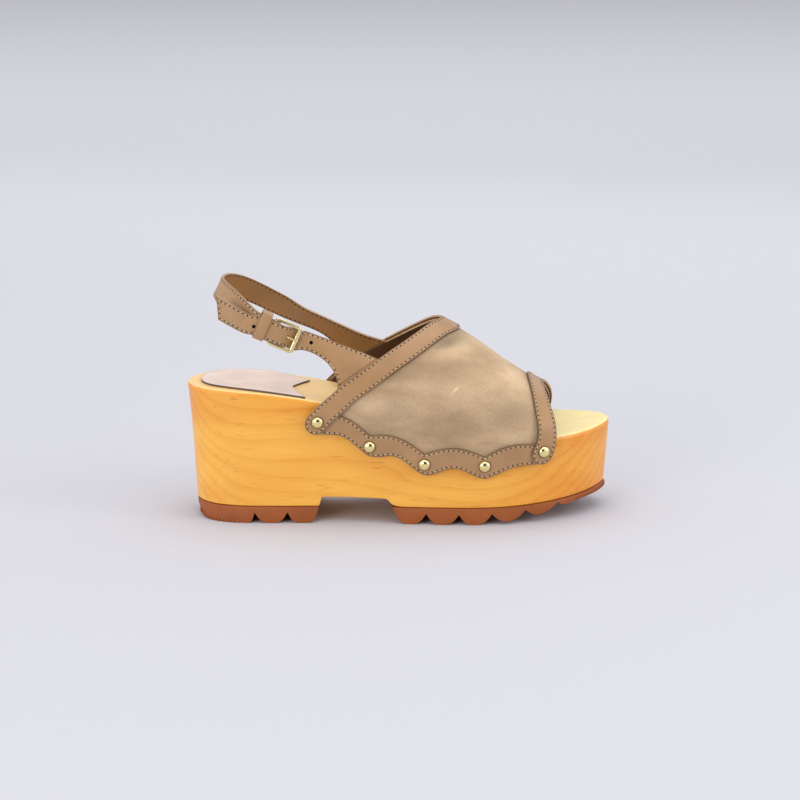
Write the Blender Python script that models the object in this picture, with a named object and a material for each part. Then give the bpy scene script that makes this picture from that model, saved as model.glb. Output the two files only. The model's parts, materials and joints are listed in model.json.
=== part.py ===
"""A right-foot wooden sole sandal, women's EU size 38.

The wooden platform stands on two rubber outsoles. A suede vamp wraps the forefoot and is nailed to
the sides of the wood through leather bands, and a strap with a buckle goes round the heel.

All sizes below are in millimetres. X runs from the back of the heel to the toe, Y from the
outer (lateral) side to the inner (medial) side, and Z up from the floor.
"""

import math

import bmesh
import bpy
from mathutils import Vector

MM = 0.001

# Driving sizes
SOLE_LENGTH = 252.0
ORIGIN_Y = 2.9
CLEARANCE = 0.3
WOOD_BASE = 10.3
TOE_LIFT = 5.8
TOE_LIFT_START = 170.0
HEEL_BACK_SLANT = 5.0
HEEL_HOLLOW = 0.62
TOE_SLANT = 2.8
SIDE_TAPER = 0.075
FOOTBED_ROUND = 2.0
BASE_ROUND = 0.6
VAMP_WALL = 1.6
BAND_WALL = 1.2
STRAP_WALL = 1.6
STRAP_WIDTH = 12.0
STRAP_LEAN = math.radians(25.5)

LATERAL = -1
MEDIAL = 1

# Footbed seen from above
# columns: x, y of the lateral edge, y of the medial edge
OUTLINE = [
    (0.0, 0.0, 0.0),
    (4.0, -15.5, 15.5),
    (12.0, -24.8, 24.8),
    (28.0, -31.0, 30.8),
    (50.0, -32.5, 31.8),
    (80.0, -32.8, 31.2),
    (110.0, -34.8, 33.0),
    (140.0, -38.6, 38.8),
    (165.0, -40.6, 44.2),
    (185.0, -39.8, 46.0),
    (205.0, -35.2, 44.6),
    (222.0, -28.0, 41.0),
    (238.0, -16.0, 34.0),
    (247.0, -4.0, 27.0),
    (252.0, 12.0, 12.0),
]

# Footbed seen from the side
# columns: x, height of the wood's top edge
FOOTBED = [
    (0.0, 80.3),
    (20.0, 80.0),
    (47.0, 78.0),
    (78.0, 73.3),
    (110.0, 66.2),
    (140.0, 58.6),
    (165.0, 53.2),
    (190.0, 50.8),
    (216.0, 51.2),
    (235.0, 52.3),
    (252.0, 53.8),
]

# Arch notch in the wood's underside
# columns: x, height
NOTCH = [(77.6, 10.3), (79.6, 14.9), (80.9, 15.9), (99.0, 15.6), (116.8, 15.1), (118.3, 14.0), (120.7, 10.3)]

# Height of the tread above the floor
# columns: x, height
TREAD = [(0.0, 0.0), (176.0, 0.0), (189.6, 1.9), (208.0, 4.6), (221.0, 8.4), (232.0, 10.5), (252.0, 12.4)]

# Lugs of the two outsoles
# columns: x where it starts, x where it ends, then run and rise of its rear and front corners
HEEL_LUGS = [
    (5.2, 39.9, 8.0, 5.0, 3.2, 6.4),
    (39.9, 59.2, 6.8, 6.4, 6.4, 6.6),
    (59.2, 77.6, 5.6, 6.6, 4.6, 9.9),
]
FOREFOOT_LUGS = [
    (120.6, 140.4, 7.4, 9.9, 7.2, 6.6),
    (140.4, 159.5, 6.8, 6.6, 7.4, 6.2),
    (159.5, 178.8, 7.0, 6.2, 7.8, 6.4),
    (178.8, 198.8, 9.2, 6.2, 8.6, 4.8),
    (198.8, 218.4, 8.8, 4.6, 8.4, 3.4),
    (218.4, 249.2, 5.2, 2.8, 1.2, 0.6),
]

# The last: the foot side of the upper, above the footbed
# columns: x, y of the ridge, height of the ridge, fullness of the section (2 is an ellipse)
LAST = [
    (60.0, 1.0, 143.0, 3.2),
    (88.0, 1.5, 131.0, 2.3),
    (115.0, 2.5, 121.4, 1.66),
    (135.0, 3.0, 117.8, 1.76),
    (150.0, 3.0, 114.0, 1.88),
    (170.0, 3.2, 102.0, 2.0),
    (190.0, 4.2, 87.0, 2.12),
    (211.0, 5.2, 73.2, 2.3),
    (222.0, 5.4, 67.5, 2.4),
]
SIDE_DROP = 60.0

# Nails of the lateral side, from the collar to the toe; the medial side mirrors the middle three
# columns: x, height, band above it, band below it, rise of the upper and lower scallop to the next
NAILS = [
    (77.3, 62.6, 2.4, 6.8, 5.8, 4.6),
    (107.6, 47.8, 6.6, 6.0, 4.6, 5.6),
    (139.4, 37.9, 6.2, 6.9, 4.6, 5.6),
    (173.9, 37.2, 5.6, 7.8, 4.4, 2.6),
    (207.1, 44.8, 2.6, 7.4, 0.0, 0.0),
]
NAIL_RADIUS = 3.4
NAIL_HEIGHT = 2.1
NAIL_SEAT_GAP = 0.1
SIDE_BAND_REACH = 2.6

# Middle line of the collar band, from each first nail up to the ridge
# columns: lateral x, lateral height, medial x, medial height
COLLAR_LINE = [
    (77.3, 62.6, 82.3, 62.2),
    (83.4, 69.1, 88.0, 68.9),
    (91.5, 76.0, 95.5, 75.8),
    (106.0, 86.2, 108.5, 85.6),
    (120.0, 94.8, 121.5, 93.2),
    (135.0, 103.6, 135.5, 101.2),
    (145.0, 109.4, 145.2, 107.0),
]
COLLAR_RIDGE_X = 155.4

# Middle line of the toe band, from each last nail up to the ridge; the medial side reaches further
# columns: lateral x, lateral height, medial x, medial height
TOE_LINE = [
    (207.1, 44.8, 209.1, 44.8),
    (209.2, 51.0, 212.9, 51.0),
    (209.2, 58.0, 214.4, 58.0),
    (208.0, 64.5, 212.6, 64.5),
    (206.5, 71.0, 209.6, 71.0),
]
TOE_RIDGE_X = 205.0
BAND_SPACING = 5.5
COLLAR_HALF_WIDTH = 6.0
TOE_HALF_WIDTH = 5.5
BAND_END_RADIUS = 6.3
BAND_END_REACH = 1.7
BAND_OVERHANG = 1.0
LAP_LENGTH = 12.0

# Wing that joins the heel strap to the collar band
WING_FOOT_LOW = 20.5
WING_FOOT_HIGH = 50.0
# columns: x and height of the upper edge, x and height of the lower edge
WING = [
    (105.5, 100.2, 89.3, 84.2),
    (97.5, 103.6, 88.2, 88.6),
    (89.5, 107.0, 85.8, 93.4),
    (82.0, 110.2, 81.6, 98.2),
    (75.5, 112.9, 75.8, 102.0),
    (70.0, 115.0, 69.3, 104.4),
]
MEDIAL_WING_LIFT = 1.6
MEDIAL_WING_FORWARD = 4.5

# Upper edge of the heel strap, from the medial wing round the heel to the buckle
# columns: x, y, height, width of the strap
SLING_LINE = [
    (60.7, 32.6, 122.6, 12.4),
    (51.0, 32.8, 127.9, 13.0),
    (41.5, 30.0, 133.4, 13.4),
    (33.0, 24.4, 138.0, 13.4),
    (27.0, 16.8, 140.6, 13.0),
    (23.3, 8.4, 141.5, 12.4),
    (22.2, -0.6, 141.3, 12.0),
    (25.0, -11.4, 140.3, 12.9),
    (30.7, -22.0, 137.4, 14.0),
    (37.2, -30.4, 132.7, 14.0),
    (42.6, -34.6, 128.0, 12.4),
]

# Buckle: its own directions are back along the strap, up across the strap, and out from the foot
BUCKLE_CENTRE = Vector((58.5, -34.2, 113.2))
BUCKLE_BACK = Vector((-0.912, -0.05, 0.405)).normalized()
BUCKLE_UP = (Vector((0.0, 0.0, 1.0)) - BUCKLE_BACK * BUCKLE_BACK.z).normalized()
BUCKLE_OUT = BUCKLE_UP.cross(BUCKLE_BACK)
FRAME_HALF_LENGTH = 8.5
FRAME_HALF_WIDTH = 8.5
FRAME_CORNER = 2.6
FRAME_SIDE_BAR = 2.1
FRAME_OUTER_BAR = 2.6
FRAME_HINGE_BAR = 1.9
FRAME_THICKNESS = 2.0
HINGE_BACK = FRAME_HALF_LENGTH - FRAME_HINGE_BAR / 2
FOLD_RADIUS = 2.35
PRONG_RADIUS = 0.6
PRONG_SLOT_WIDTH = 3.4
PRONG_SLOT_LENGTH = 6.4
FRAME_BEVEL = 0.45
KEEPER_BACK = 10.8
KEEPER_LENGTH = 6.0
KEEPER_WALL = 1.2
KEEPER_INNER = -2.9
KEEPER_OUTER = 5.3
KEEPER_SIDE_GAP = 1.4
KEEPER_LIFT = 1.0

# Strap end as it passes through the buckle
# columns: distance back from the buckle's centre, distance out
BILLET_LINE = [
    (-9.5, -2.35),
    (-6.8, -2.35),
    (-4.6, -1.7),
    (-2.4, -0.1),
    (-0.4, 1.9),
    (1.8, 3.7),
    (4.4, 4.6),
    (7.5, 4.65),
    (10.5, 4.3),
    (13.5, 3.8),
    (17.5, 3.7),
]
# Free end of the strap, upper and lower edge
# columns: x, y, height of the upper edge, then of the lower edge
TAIL_LINE = [
    (40.5, -38.4, 125.8, 36.2, -38.4, 115.3),
    (33.5, -37.6, 129.5, 30.0, -37.4, 118.3),
    (26.5, -35.6, 133.0, 25.0, -35.4, 120.8),
    (20.3, -33.0, 136.2, 21.2, -33.2, 122.6),
]

# Sock pad on the footbed
# columns: x, y of its lateral edge, x, y of its medial edge
PAD_OUTLINE = [
    (8.4, -4.0, 8.4, 4.0),
    (10.2, -11.0, 10.2, 11.0),
    (14.5, -17.6, 14.5, 18.0),
    (21.5, -22.2, 21.5, 23.6),
    (32.0, -25.8, 32.0, 27.2),
    (45.0, -28.4, 44.0, 28.4),
    (58.0, -29.8, 56.0, 26.8),
    (70.3, -30.0, 72.5, 17.0),
]
PAD_NOTCH = 9.2
PAD_WALL = 1.0

COLOURS = {
    "wood": ((0.80, 0.42, 0.12), 0.45, 0.0),
    "rubber": ((0.35, 0.12, 0.04), 0.75, 0.0),
    "suede": ((0.48, 0.34, 0.20), 0.95, 0.0),
    "leather": ((0.38, 0.23, 0.12), 0.55, 0.0),
    "sock": ((0.76, 0.62, 0.56), 0.7, 0.0),
    "brass": ((0.80, 0.68, 0.36), 0.25, 1.0),
}


def column(table, index):
    return [row[index] for row in table]


def smooth(knots, values, at):
    """A smooth curve through the table's values, flat-ended outside it."""
    if at <= knots[0]:
        return values[0]
    if at >= knots[-1]:
        return values[-1]
    last = len(knots) - 1
    here = max(k for k in range(last) if knots[k] <= at)

    def slope(k):
        if k == 0:
            return (values[1] - values[0]) / (knots[1] - knots[0])
        if k == last:
            return (values[-1] - values[-2]) / (knots[-1] - knots[-2])
        before = knots[k] - knots[k - 1]
        after = knots[k + 1] - knots[k]
        fall = (values[k] - values[k - 1]) / before
        rise = (values[k + 1] - values[k]) / after
        return (fall * after + rise * before) / (before + after)

    span = knots[here + 1] - knots[here]
    u = (at - knots[here]) / span
    start = (2 * u**3 - 3 * u**2 + 1) * values[here] + (u**3 - 2 * u**2 + u) * slope(here) * span
    end = (3 * u**2 - 2 * u**3) * values[here + 1] + (u**3 - u**2) * slope(here + 1) * span
    return start + end


def straight(knots, values, at):
    """The same, with straight runs."""
    at = min(max(at, knots[0]), knots[-1])
    here = max(k for k in range(len(knots) - 1) if knots[k] <= at)
    u = (at - knots[here]) / (knots[here + 1] - knots[here])
    return values[here] + u * (values[here + 1] - values[here])


def blend(a, b, t):
    return a + (b - a) * t


def ease(t):
    t = min(max(t, 0.0), 1.0)
    return t * t * (3 - 2 * t)


# Shape of the sole


def plan_angle(x):
    """Angle that spreads the stations round the heel and the toe."""
    return math.acos(1 - 2 * min(max(x / SOLE_LENGTH, 0.0), 1.0))


PLAN_ANGLES = [plan_angle(x) for x in column(OUTLINE, 0)]


def edge_y(x, hand):
    side = 1 if hand == LATERAL else 2
    return smooth(PLAN_ANGLES, column(OUTLINE, side), plan_angle(x))


def footbed_z(x):
    return smooth(column(FOOTBED, 0), column(FOOTBED, 1), x)


def wood_base_z(x):
    """Underside of the wood before the notch: level, then lifting to the toe."""
    run = max(0.0, x - TOE_LIFT_START) / (SOLE_LENGTH - TOE_SLANT - TOE_LIFT_START)
    return WOOD_BASE + TOE_LIFT * run**2


def notched_base_z(x):
    if NOTCH[0][0] < x < NOTCH[-1][0]:
        return straight(column(NOTCH, 0), column(NOTCH, 1), x)
    return wood_base_z(x)


def lean_x(x, depth):
    """How a station of the footbed's outline leans in down the wood's side, hollowed at the heel."""
    toward_toe = x / SOLE_LENGTH
    return x + HEEL_BACK_SLANT * (1 - toward_toe) * depth**HEEL_HOLLOW - TOE_SLANT * toward_toe * depth


def base_x(x):
    """Where a station of the footbed's outline comes down on the wood's underside."""
    return lean_x(x, 1.0)


def station_of(x_low):
    return (x_low - HEEL_BACK_SLANT) * SOLE_LENGTH / (SOLE_LENGTH - HEEL_BACK_SLANT - TOE_SLANT)


def wood_side_y(x, z, hand):
    """Side of the wood at a height between its top edge and its underside."""
    depth = max(0.0, (footbed_z(x) - z) / (footbed_z(x) - wood_base_z(x)))
    shrink = 1 - (HEEL_BACK_SLANT + TOE_SLANT) * depth / SOLE_LENGTH
    station = (x - HEEL_BACK_SLANT * depth) / shrink
    return edge_y(station, hand) * (1 - SIDE_TAPER * depth)


# Shape of the last, as points at (x, turn): turn is -1 and 1 at the wood's top edge, 0 on the ridge


def last_point(x, turn):
    hand = LATERAL if turn < 0 else MEDIAL
    if abs(turn) > 1:
        z = footbed_z(x) - (abs(turn) - 1) * SIDE_DROP
        return Vector((x, wood_side_y(x, z, hand) + hand * CLEARANCE, z))
    ridge_y = smooth(column(LAST, 0), column(LAST, 1), x)
    ridge_z = smooth(column(LAST, 0), column(LAST, 2), x)
    fullness = smooth(column(LAST, 0), column(LAST, 3), x)
    angle = abs(turn) * math.pi / 2
    radius = (math.sin(angle) ** fullness + math.cos(angle) ** fullness) ** (-1 / fullness)
    half_width = edge_y(x, hand) + hand * CLEARANCE - ridge_y
    height = ridge_z - footbed_z(x)
    y = ridge_y + half_width * math.sin(angle) * radius
    return Vector((x, y, footbed_z(x) + height * math.cos(angle) * radius))


def turn_at(x, z, hand):
    """The turn at which the last has this height."""
    if z <= footbed_z(x):
        return hand * (1 + (footbed_z(x) - z) / SIDE_DROP)
    low, high = 0.0, 1.0
    for _ in range(30):
        middle = (low + high) / 2
        if last_point(x, hand * middle).z > z:
            low = middle
        else:
            high = middle
    return hand * low


def last_slopes(x, turn):
    along = last_point(x + 0.5, turn) - last_point(x - 0.5, turn)
    around = (last_point(x, turn + 0.02) - last_point(x, turn - 0.02)) / 0.04
    return along, around, along.cross(around).normalized()


def off_last(x, turn, out):
    return last_point(x, turn) + last_slopes(x, turn)[2] * out


def walk(place, direction, distance):
    """Goes a distance over the last from one (x, turn) in a direction, in small steps."""
    x, turn = place
    steps = 5
    for _ in range(steps):
        along, around, _ = last_slopes(x, turn)
        step = direction * (distance / steps)
        aa, bb, ab = along.dot(along), around.dot(around), along.dot(around)
        sa, sb = step.dot(along), step.dot(around)
        det = aa * bb - ab * ab
        x += (sa * bb - sb * ab) / det
        turn += (sb * aa - sa * ab) / det
    return x, turn


class Route:
    """A smooth line over the last through (x, turn) points, measured in millimetres from its first."""

    def __init__(self, places):
        self.places = places
        self.reach = [0.0]
        for before, after in zip(places, places[1:]):
            step = (last_point(*after) - last_point(*before)).length
            self.reach.append(self.reach[-1] + step)
        self.length = self.reach[-1]

    def at(self, distance):
        inside = min(max(distance, 0.0), self.length)
        place = tuple(smooth(self.reach, [p[k] for p in self.places], inside) for k in (0, 1))
        if inside == distance:
            return place
        return walk(place, self.heading(inside), distance - inside)

    def heading(self, distance):
        before = last_point(*self.at(max(distance - 0.5, 0.0)))
        after = last_point(*self.at(min(distance + 0.5, self.length)))
        return (after - before).normalized()

    def beside(self, distance, across):
        """A place beside the line: a positive distance across lies on the heel side of a band."""
        place = self.at(distance)
        normal = last_slopes(*place)[2]
        inside = min(max(distance, 0.0), self.length)
        return walk(place, normal.cross(self.heading(inside)).normalized(), across)


def band_route(line, ridge_x):
    """The middle line of a band, from the lateral nail over the ridge to the medial nail."""
    lateral = [(row[0], turn_at(row[0], row[1], LATERAL)) for row in line]
    medial = [(row[2], turn_at(row[2], row[3], MEDIAL)) for row in reversed(line)]
    return Route(lateral + [(ridge_x, 0.0)] + medial)


def nails_of(hand):
    """The side's rows of nails, whose first and last hold that side's ends of the two bands."""
    if hand == LATERAL:
        return NAILS
    return [COLLAR_LINE[0][2:] + NAILS[0][2:]] + NAILS[1:-1] + [TOE_LINE[0][2:] + NAILS[-1][2:]]


def scallop_z(x, upper, hand):
    """Height of the side band's upper or lower edge."""
    nails = nails_of(hand)
    x = min(max(x, nails[0][0]), nails[-1][0])
    here = max(k for k in range(len(nails) - 1) if nails[k][0] <= x)
    start, end = nails[here], nails[here + 1]
    t = (x - start[0]) / (end[0] - start[0])
    if upper:
        return blend(start[1] + start[2], end[1] + end[2], t) + start[4] * math.sin(math.pi * t)
    wave = (1 - math.cos(2 * math.pi * t)) / 2
    return blend(start[1] - start[3], end[1] - end[3], t) + start[5] * wave


# Making solids


def material(name):
    found = bpy.data.materials.get(name)
    if found:
        return found
    colour, roughness, metallic = COLOURS[name]
    made = bpy.data.materials.new(name)
    made.use_nodes = True
    shader = made.node_tree.nodes["Principled BSDF"]
    shader.inputs["Base Color"].default_value = (*colour, 1.0)
    shader.inputs["Roughness"].default_value = roughness
    shader.inputs["Metallic"].default_value = metallic
    made.diffuse_color = (*colour, 1.0)
    return made


def world(point):
    return Vector((point.x - SOLE_LENGTH / 2, point.y - ORIGIN_Y, point.z)) * MM


def add_object(name, points, faces, finish, weld=0.0):
    """A named object from points in millimetres and faces, with its normals facing out."""
    mesh = bpy.data.meshes.new(name)
    mesh.from_pydata([world(p) for p in points], [], faces)
    shaper = bmesh.new()
    shaper.from_mesh(mesh)
    if weld:
        bmesh.ops.remove_doubles(shaper, verts=shaper.verts, dist=weld * MM)
    bmesh.ops.recalc_face_normals(shaper, faces=shaper.faces)
    shaper.to_mesh(mesh)
    shaper.free()
    mesh.shade_smooth()
    mesh.set_sharp_from_angle(angle=math.radians(35))
    made = bpy.data.objects.new(name, mesh)
    bpy.context.scene.collection.objects.link(made)
    mesh.materials.append(material(finish))
    return made


def solid_between(name, inner, outer, finish, weld=0.0):
    """A closed solid between two grids of points that have the same rows and columns."""
    rows, columns = len(inner), len(inner[0])
    points = [p for row in inner for p in row] + [p for row in outer for p in row]
    shift = rows * columns

    def at(i, j, layer):
        return layer * shift + i * columns + j

    faces = []
    for i in range(rows - 1):
        for j in range(columns - 1):
            faces.append((at(i, j, 0), at(i + 1, j, 0), at(i + 1, j + 1, 0), at(i, j + 1, 0)))
            faces.append((at(i, j, 1), at(i, j + 1, 1), at(i + 1, j + 1, 1), at(i + 1, j, 1)))
    for i in range(rows - 1):
        for j in (0, columns - 1):
            faces.append((at(i, j, 0), at(i, j, 1), at(i + 1, j, 1), at(i + 1, j, 0)))
    for j in range(columns - 1):
        for i in (0, rows - 1):
            faces.append((at(i, j, 0), at(i, j + 1, 0), at(i, j + 1, 1), at(i, j, 1)))
    return add_object(name, points, faces, finish, weld)


def grid_normal(grid, i, j):
    rows, columns = len(grid), len(grid[0])
    along = grid[min(i + 1, rows - 1)][j] - grid[max(i - 1, 0)][j]
    across = grid[i][min(j + 1, columns - 1)] - grid[i][max(j - 1, 0)]
    return along.cross(across).normalized()


def leather_from(name, grid, wall, finish):
    """A sheet of leather of even thickness about a grid of points."""
    half = wall / 2
    spots = [(i, j) for i in range(len(grid)) for j in range(len(grid[0]))]
    normals = {spot: grid_normal(grid, *spot) * half for spot in spots}
    inner = [[p - normals[i, j] for j, p in enumerate(row)] for i, row in enumerate(grid)]
    outer = [[p + normals[i, j] for j, p in enumerate(row)] for i, row in enumerate(grid)]
    return solid_between(name, inner, outer, finish)


def cut(target, cutter):
    """Takes the cutter's solid out of the target with an exact Boolean."""
    cutter.hide_render = True
    cutter.display_type = "WIRE"
    modifier = target.modifiers.new("cut", "BOOLEAN")
    modifier.object = cutter
    modifier.operation = "DIFFERENCE"
    modifier.solver = "EXACT"


# Sole pieces


def stations(start, end, count, breaks):
    """Places along the sole, closer together at the heel and the toe, with the breaks among them."""
    first, last = plan_angle(start), plan_angle(end)
    even = [SOLE_LENGTH * (1 - math.cos(blend(first, last, k / count))) / 2 for k in range(count + 1)]
    kept = [x for x in even if all(abs(x - b) > 1.5 for b in breaks)]
    return sorted(set(kept) | {b for b in breaks if start <= b <= end})


def ring_of_sole(places, depth_of, inset=0.0):
    """One closed ring round the sole: the lateral side from heel to toe, then the medial side back."""
    ring = []
    for hand, order in ((LATERAL, places), (MEDIAL, places[-2:0:-1])):
        for x in order:
            z = depth_of(x)
            depth = (footbed_z(x) - z) / (footbed_z(x) - wood_base_z(base_x(x)))
            depth = max(0.0, depth)
            y = edge_y(x, hand) * (1 - SIDE_TAPER * depth)
            middle = (edge_y(x, LATERAL) + edge_y(x, MEDIAL)) / 2
            width = max(abs(y - middle), 0.001)
            y = middle + (y - middle) * max(0.0, 1 - inset / width)
            lean = lean_x(x, depth)
            centred = blend(lean, SOLE_LENGTH / 2, inset / (SOLE_LENGTH / 2))
            ring.append(Vector((centred, y, z)))
    return ring


def solid_of_rings(name, rings, stations_count, finish):
    """A solid from rings round the sole, closed above and below by strips across it."""
    size = len(rings[0])
    points = [p for ring in rings for p in ring]
    faces = []
    for level in range(len(rings) - 1):
        for k in range(size):
            a, b = level * size + k, level * size + (k + 1) % size
            faces.append((a, b, b + size, a + size))
    for level in (0, len(rings) - 1):
        shift = level * size
        for k in range(stations_count - 1):
            near, far = shift + k, shift + (size - k) % size
            next_near, next_far = shift + k + 1, shift + (size - k - 1) % size
            strip = [near, next_near, next_far, far]
            faces.append(tuple(dict.fromkeys(strip)))
    return add_object(name, points, faces, finish, weld=0.01)


def make_wood_sole():
    breaks = [station_of(x) for x in column(NOTCH, 0)]
    places = stations(0.0, SOLE_LENGTH, 44, breaks)

    def underside(x):
        return notched_base_z(base_x(x))

    rings = [
        ring_of_sole(places, footbed_z, inset=FOOTBED_ROUND),
        ring_of_sole(places, lambda x: footbed_z(x) - 0.3 * FOOTBED_ROUND, inset=0.3 * FOOTBED_ROUND),
        ring_of_sole(places, lambda x: footbed_z(x) - FOOTBED_ROUND),
        ring_of_sole(places, lambda x: blend(footbed_z(x), underside(x), 0.3)),
        ring_of_sole(places, lambda x: blend(footbed_z(x), underside(x), 0.62)),
        ring_of_sole(places, lambda x: underside(x) + BASE_ROUND),
        ring_of_sole(places, underside, inset=BASE_ROUND),
    ]
    return solid_of_rings("wood_sole", rings, len(places), "wood")


def lug_rise(x, lug):
    """How far a lug's rounded corner lifts off the tread here."""
    start, end, rear_run, rear_rise, front_run, front_rise = lug
    if x < start + rear_run:
        return rear_rise * min((start + rear_run - x) / rear_run, 1.0) ** 2
    if x > end - front_run:
        return front_rise * min((x - end + front_run) / front_run, 1.0) ** 2
    return 0.0


def tread_z(x, lugs):
    level = straight(column(TREAD, 0), column(TREAD, 1), x)
    lug = next((row for row in lugs if x <= row[1]), lugs[-1])
    highest = wood_base_z(x) - CLEARANCE
    return min(level + lug_rise(x, lug), highest)


def lug_breaks(lugs):
    """Places on each lug's rounded corners and flat, where the profile needs a point."""
    shares = (0.0, 0.3, 0.65, 1.0)
    found = set()
    for start, end, rear_run, _, front_run, _ in lugs:
        found |= {start + rear_run * share for share in shares}
        found |= {end - front_run * share for share in shares}
    return sorted(found)


def make_outsole(name, lugs):
    start, end = lugs[0][0], lugs[-1][1]
    first, last = station_of(start), station_of(end)
    breaks = [station_of(x) for x in lug_breaks(lugs)]
    places = stations(max(first, 0.0), min(last, SOLE_LENGTH), 26, breaks)
    points = []
    for x in places:
        low = base_x(x)
        top = wood_base_z(low) - CLEARANCE
        bottom = tread_z(low, lugs)
        lateral = edge_y(x, LATERAL) * (1 - SIDE_TAPER)
        medial = edge_y(x, MEDIAL) * (1 - SIDE_TAPER)
        points += [Vector((low, lateral, top)), Vector((low, medial, top))]
        points += [Vector((low, medial, bottom)), Vector((low, lateral, bottom))]
    faces = []
    for k in range(len(places) - 1):
        here, there = 4 * k, 4 * (k + 1)
        for side in range(4):
            after = (side + 1) % 4
            faces.append((here + side, here + after, there + after, there + side))
    faces.append((0, 1, 2, 3))
    faces.append(tuple(len(points) - 4 + k for k in (3, 2, 1, 0)))
    return add_object(name, points, faces, "rubber", weld=0.02)


def make_sock_pad():
    rows = 14
    columns = 10
    steps = [k / (len(PAD_OUTLINE) - 1) for k in range(len(PAD_OUTLINE))]
    inner, outer = [], []
    for i in range(rows + 1):
        t = i / rows
        lateral_x, lateral_y, medial_x, medial_y = (
            smooth(steps, column(PAD_OUTLINE, k), t) for k in range(4)
        )
        low_row, high_row = [], []
        for j in range(columns + 1):
            v = j / columns
            bow = PAD_NOTCH * t**3 * (1 - abs(2 * v - 1)) ** 0.9
            x = blend(lateral_x, medial_x, v) - bow
            y = blend(lateral_y, medial_y, v)
            floor = footbed_z(x) + CLEARANCE
            low_row.append(Vector((x, y, floor)))
            high_row.append(Vector((x, y, floor + PAD_WALL)))
        inner.append(low_row)
        outer.append(high_row)
    return solid_between("sock_pad", inner, outer, "sock")


# Upper pieces


def resample(line, count):
    """Spreads a line of (x, turn) places evenly along the last."""
    reach = [0.0]
    for before, after in zip(line, line[1:]):
        reach.append(reach[-1] + (last_point(*after) - last_point(*before)).length)
    spots = [reach[-1] * k / count for k in range(count + 1)]
    return [tuple(straight(reach, [p[k] for p in line], spot) for k in (0, 1)) for spot in spots]


def vamp_edges(collar, toe):
    """The vamp's four edges, each hidden under its band."""
    margin = BAND_OVERHANG
    count = 60

    def low_edge(hand):
        rear_corner, front_corner = nails_of(hand)[0][0], nails_of(hand)[-1][0]
        spots = [blend(rear_corner, front_corner, k / count) for k in range(count + 1)]
        return [(x, turn_at(x, scallop_z(x, False, hand) + margin, hand)) for x in spots]

    def band_edge(route, across):
        spots = [route.length * k / count for k in range(count + 1)]
        return [route.beside(spot, across) for spot in spots]

    lateral, medial = low_edge(LATERAL), low_edge(MEDIAL)
    rear = band_edge(collar, COLLAR_HALF_WIDTH - margin)
    front = band_edge(toe, margin - TOE_HALF_WIDTH)
    rear = [lateral[0]] + rear + [medial[0]]
    front = [lateral[-1]] + front + [medial[-1]]
    return rear, front, lateral, medial


def make_vamp(collar, toe):
    """The hollow suede vamp: one wall over the foot and down the wood's sides."""
    around, along = 30, 26
    rear, front, lateral, medial = vamp_edges(collar, toe)
    rear, front = resample(rear, around), resample(front, around)
    lateral, medial = resample(lateral, along), resample(medial, along)
    inner, outer = [], []
    for i in range(along + 1):
        v = i / along
        places = []
        for j in range(around + 1):
            u = j / around
            place = []
            for k in (0, 1):
                ends = blend(rear[j][k], front[j][k], v) + blend(lateral[i][k], medial[i][k], u)
                back = blend(rear[0][k], rear[-1][k], u)
                fore = blend(front[0][k], front[-1][k], u)
                place.append(ends - blend(back, fore, v))
            places.append(place)
        inner.append([off_last(x, turn, 0.0) for x, turn in places])
        outer.append([off_last(x, turn, VAMP_WALL) for x, turn in places])
    return solid_between("vamp", inner, outer, "suede")


def band_stations(route):
    """Distances along a band and its share of full width there, with a round end past each nail."""
    round_end = [math.radians(angle) for angle in (80, 62, 42, 20)]
    caps = [(BAND_END_REACH + BAND_END_RADIUS * math.sin(a), math.cos(a)) for a in round_end]
    run = route.length + 2 * BAND_END_REACH
    count = round(run / BAND_SPACING)
    middle = [(run * k / count - BAND_END_REACH, 1.0) for k in range(count + 1)]
    start = [(-reach, share) for reach, share in caps]
    end = [(route.length + reach, share) for reach, share in reversed(caps)]
    return start + middle + end


def make_band(name, route, half_width):
    """A leather band over the vamp, whose nailed ends lie on the side bands."""
    low = VAMP_WALL + CLEARANCE
    lap = BAND_WALL + CLEARANCE
    inner, outer = [], []
    for distance, share in band_stations(route):
        from_end = min(distance, route.length - distance)
        raised = low + lap * (1 - ease((from_end - LAP_LENGTH) / LAP_LENGTH))
        half = blend(BAND_END_RADIUS, half_width, ease(from_end / LAP_LENGTH)) * share
        row = [route.beside(distance, half * across) for across in (-1, -0.4, 0.4, 1)]
        inner.append([off_last(x, turn, raised) for x, turn in row])
        outer.append([off_last(x, turn, raised + BAND_WALL) for x, turn in row])
    return solid_between(name, inner, outer, "leather")


def make_side_band(name, hand):
    """The scalloped band along the wood, nailed through each of its lobes."""
    low = VAMP_WALL + CLEARANCE
    nail_places = column(nails_of(hand), 0)
    start = nail_places[0] - SIDE_BAND_REACH
    end = nail_places[-1] + SIDE_BAND_REACH
    count = 40
    places = {start, end} | set(nail_places)
    places |= {blend(start, end, k / count) for k in range(count + 1)}
    places = [x for x in sorted(places) if all(x == n or abs(x - n) > 1.2 for n in nail_places)]
    inner, outer = [], []
    for x in places:
        upper, lower = scallop_z(x, True, hand), scallop_z(x, False, hand)
        row = [(x, turn_at(x, blend(upper, lower, v), hand)) for v in (0, 0.33, 0.67, 1)]
        inner.append([off_last(px, turn, low) for px, turn in row])
        outer.append([off_last(px, turn, low + BAND_WALL) for px, turn in row])
    return solid_between(name, inner, outer, "leather")


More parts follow.
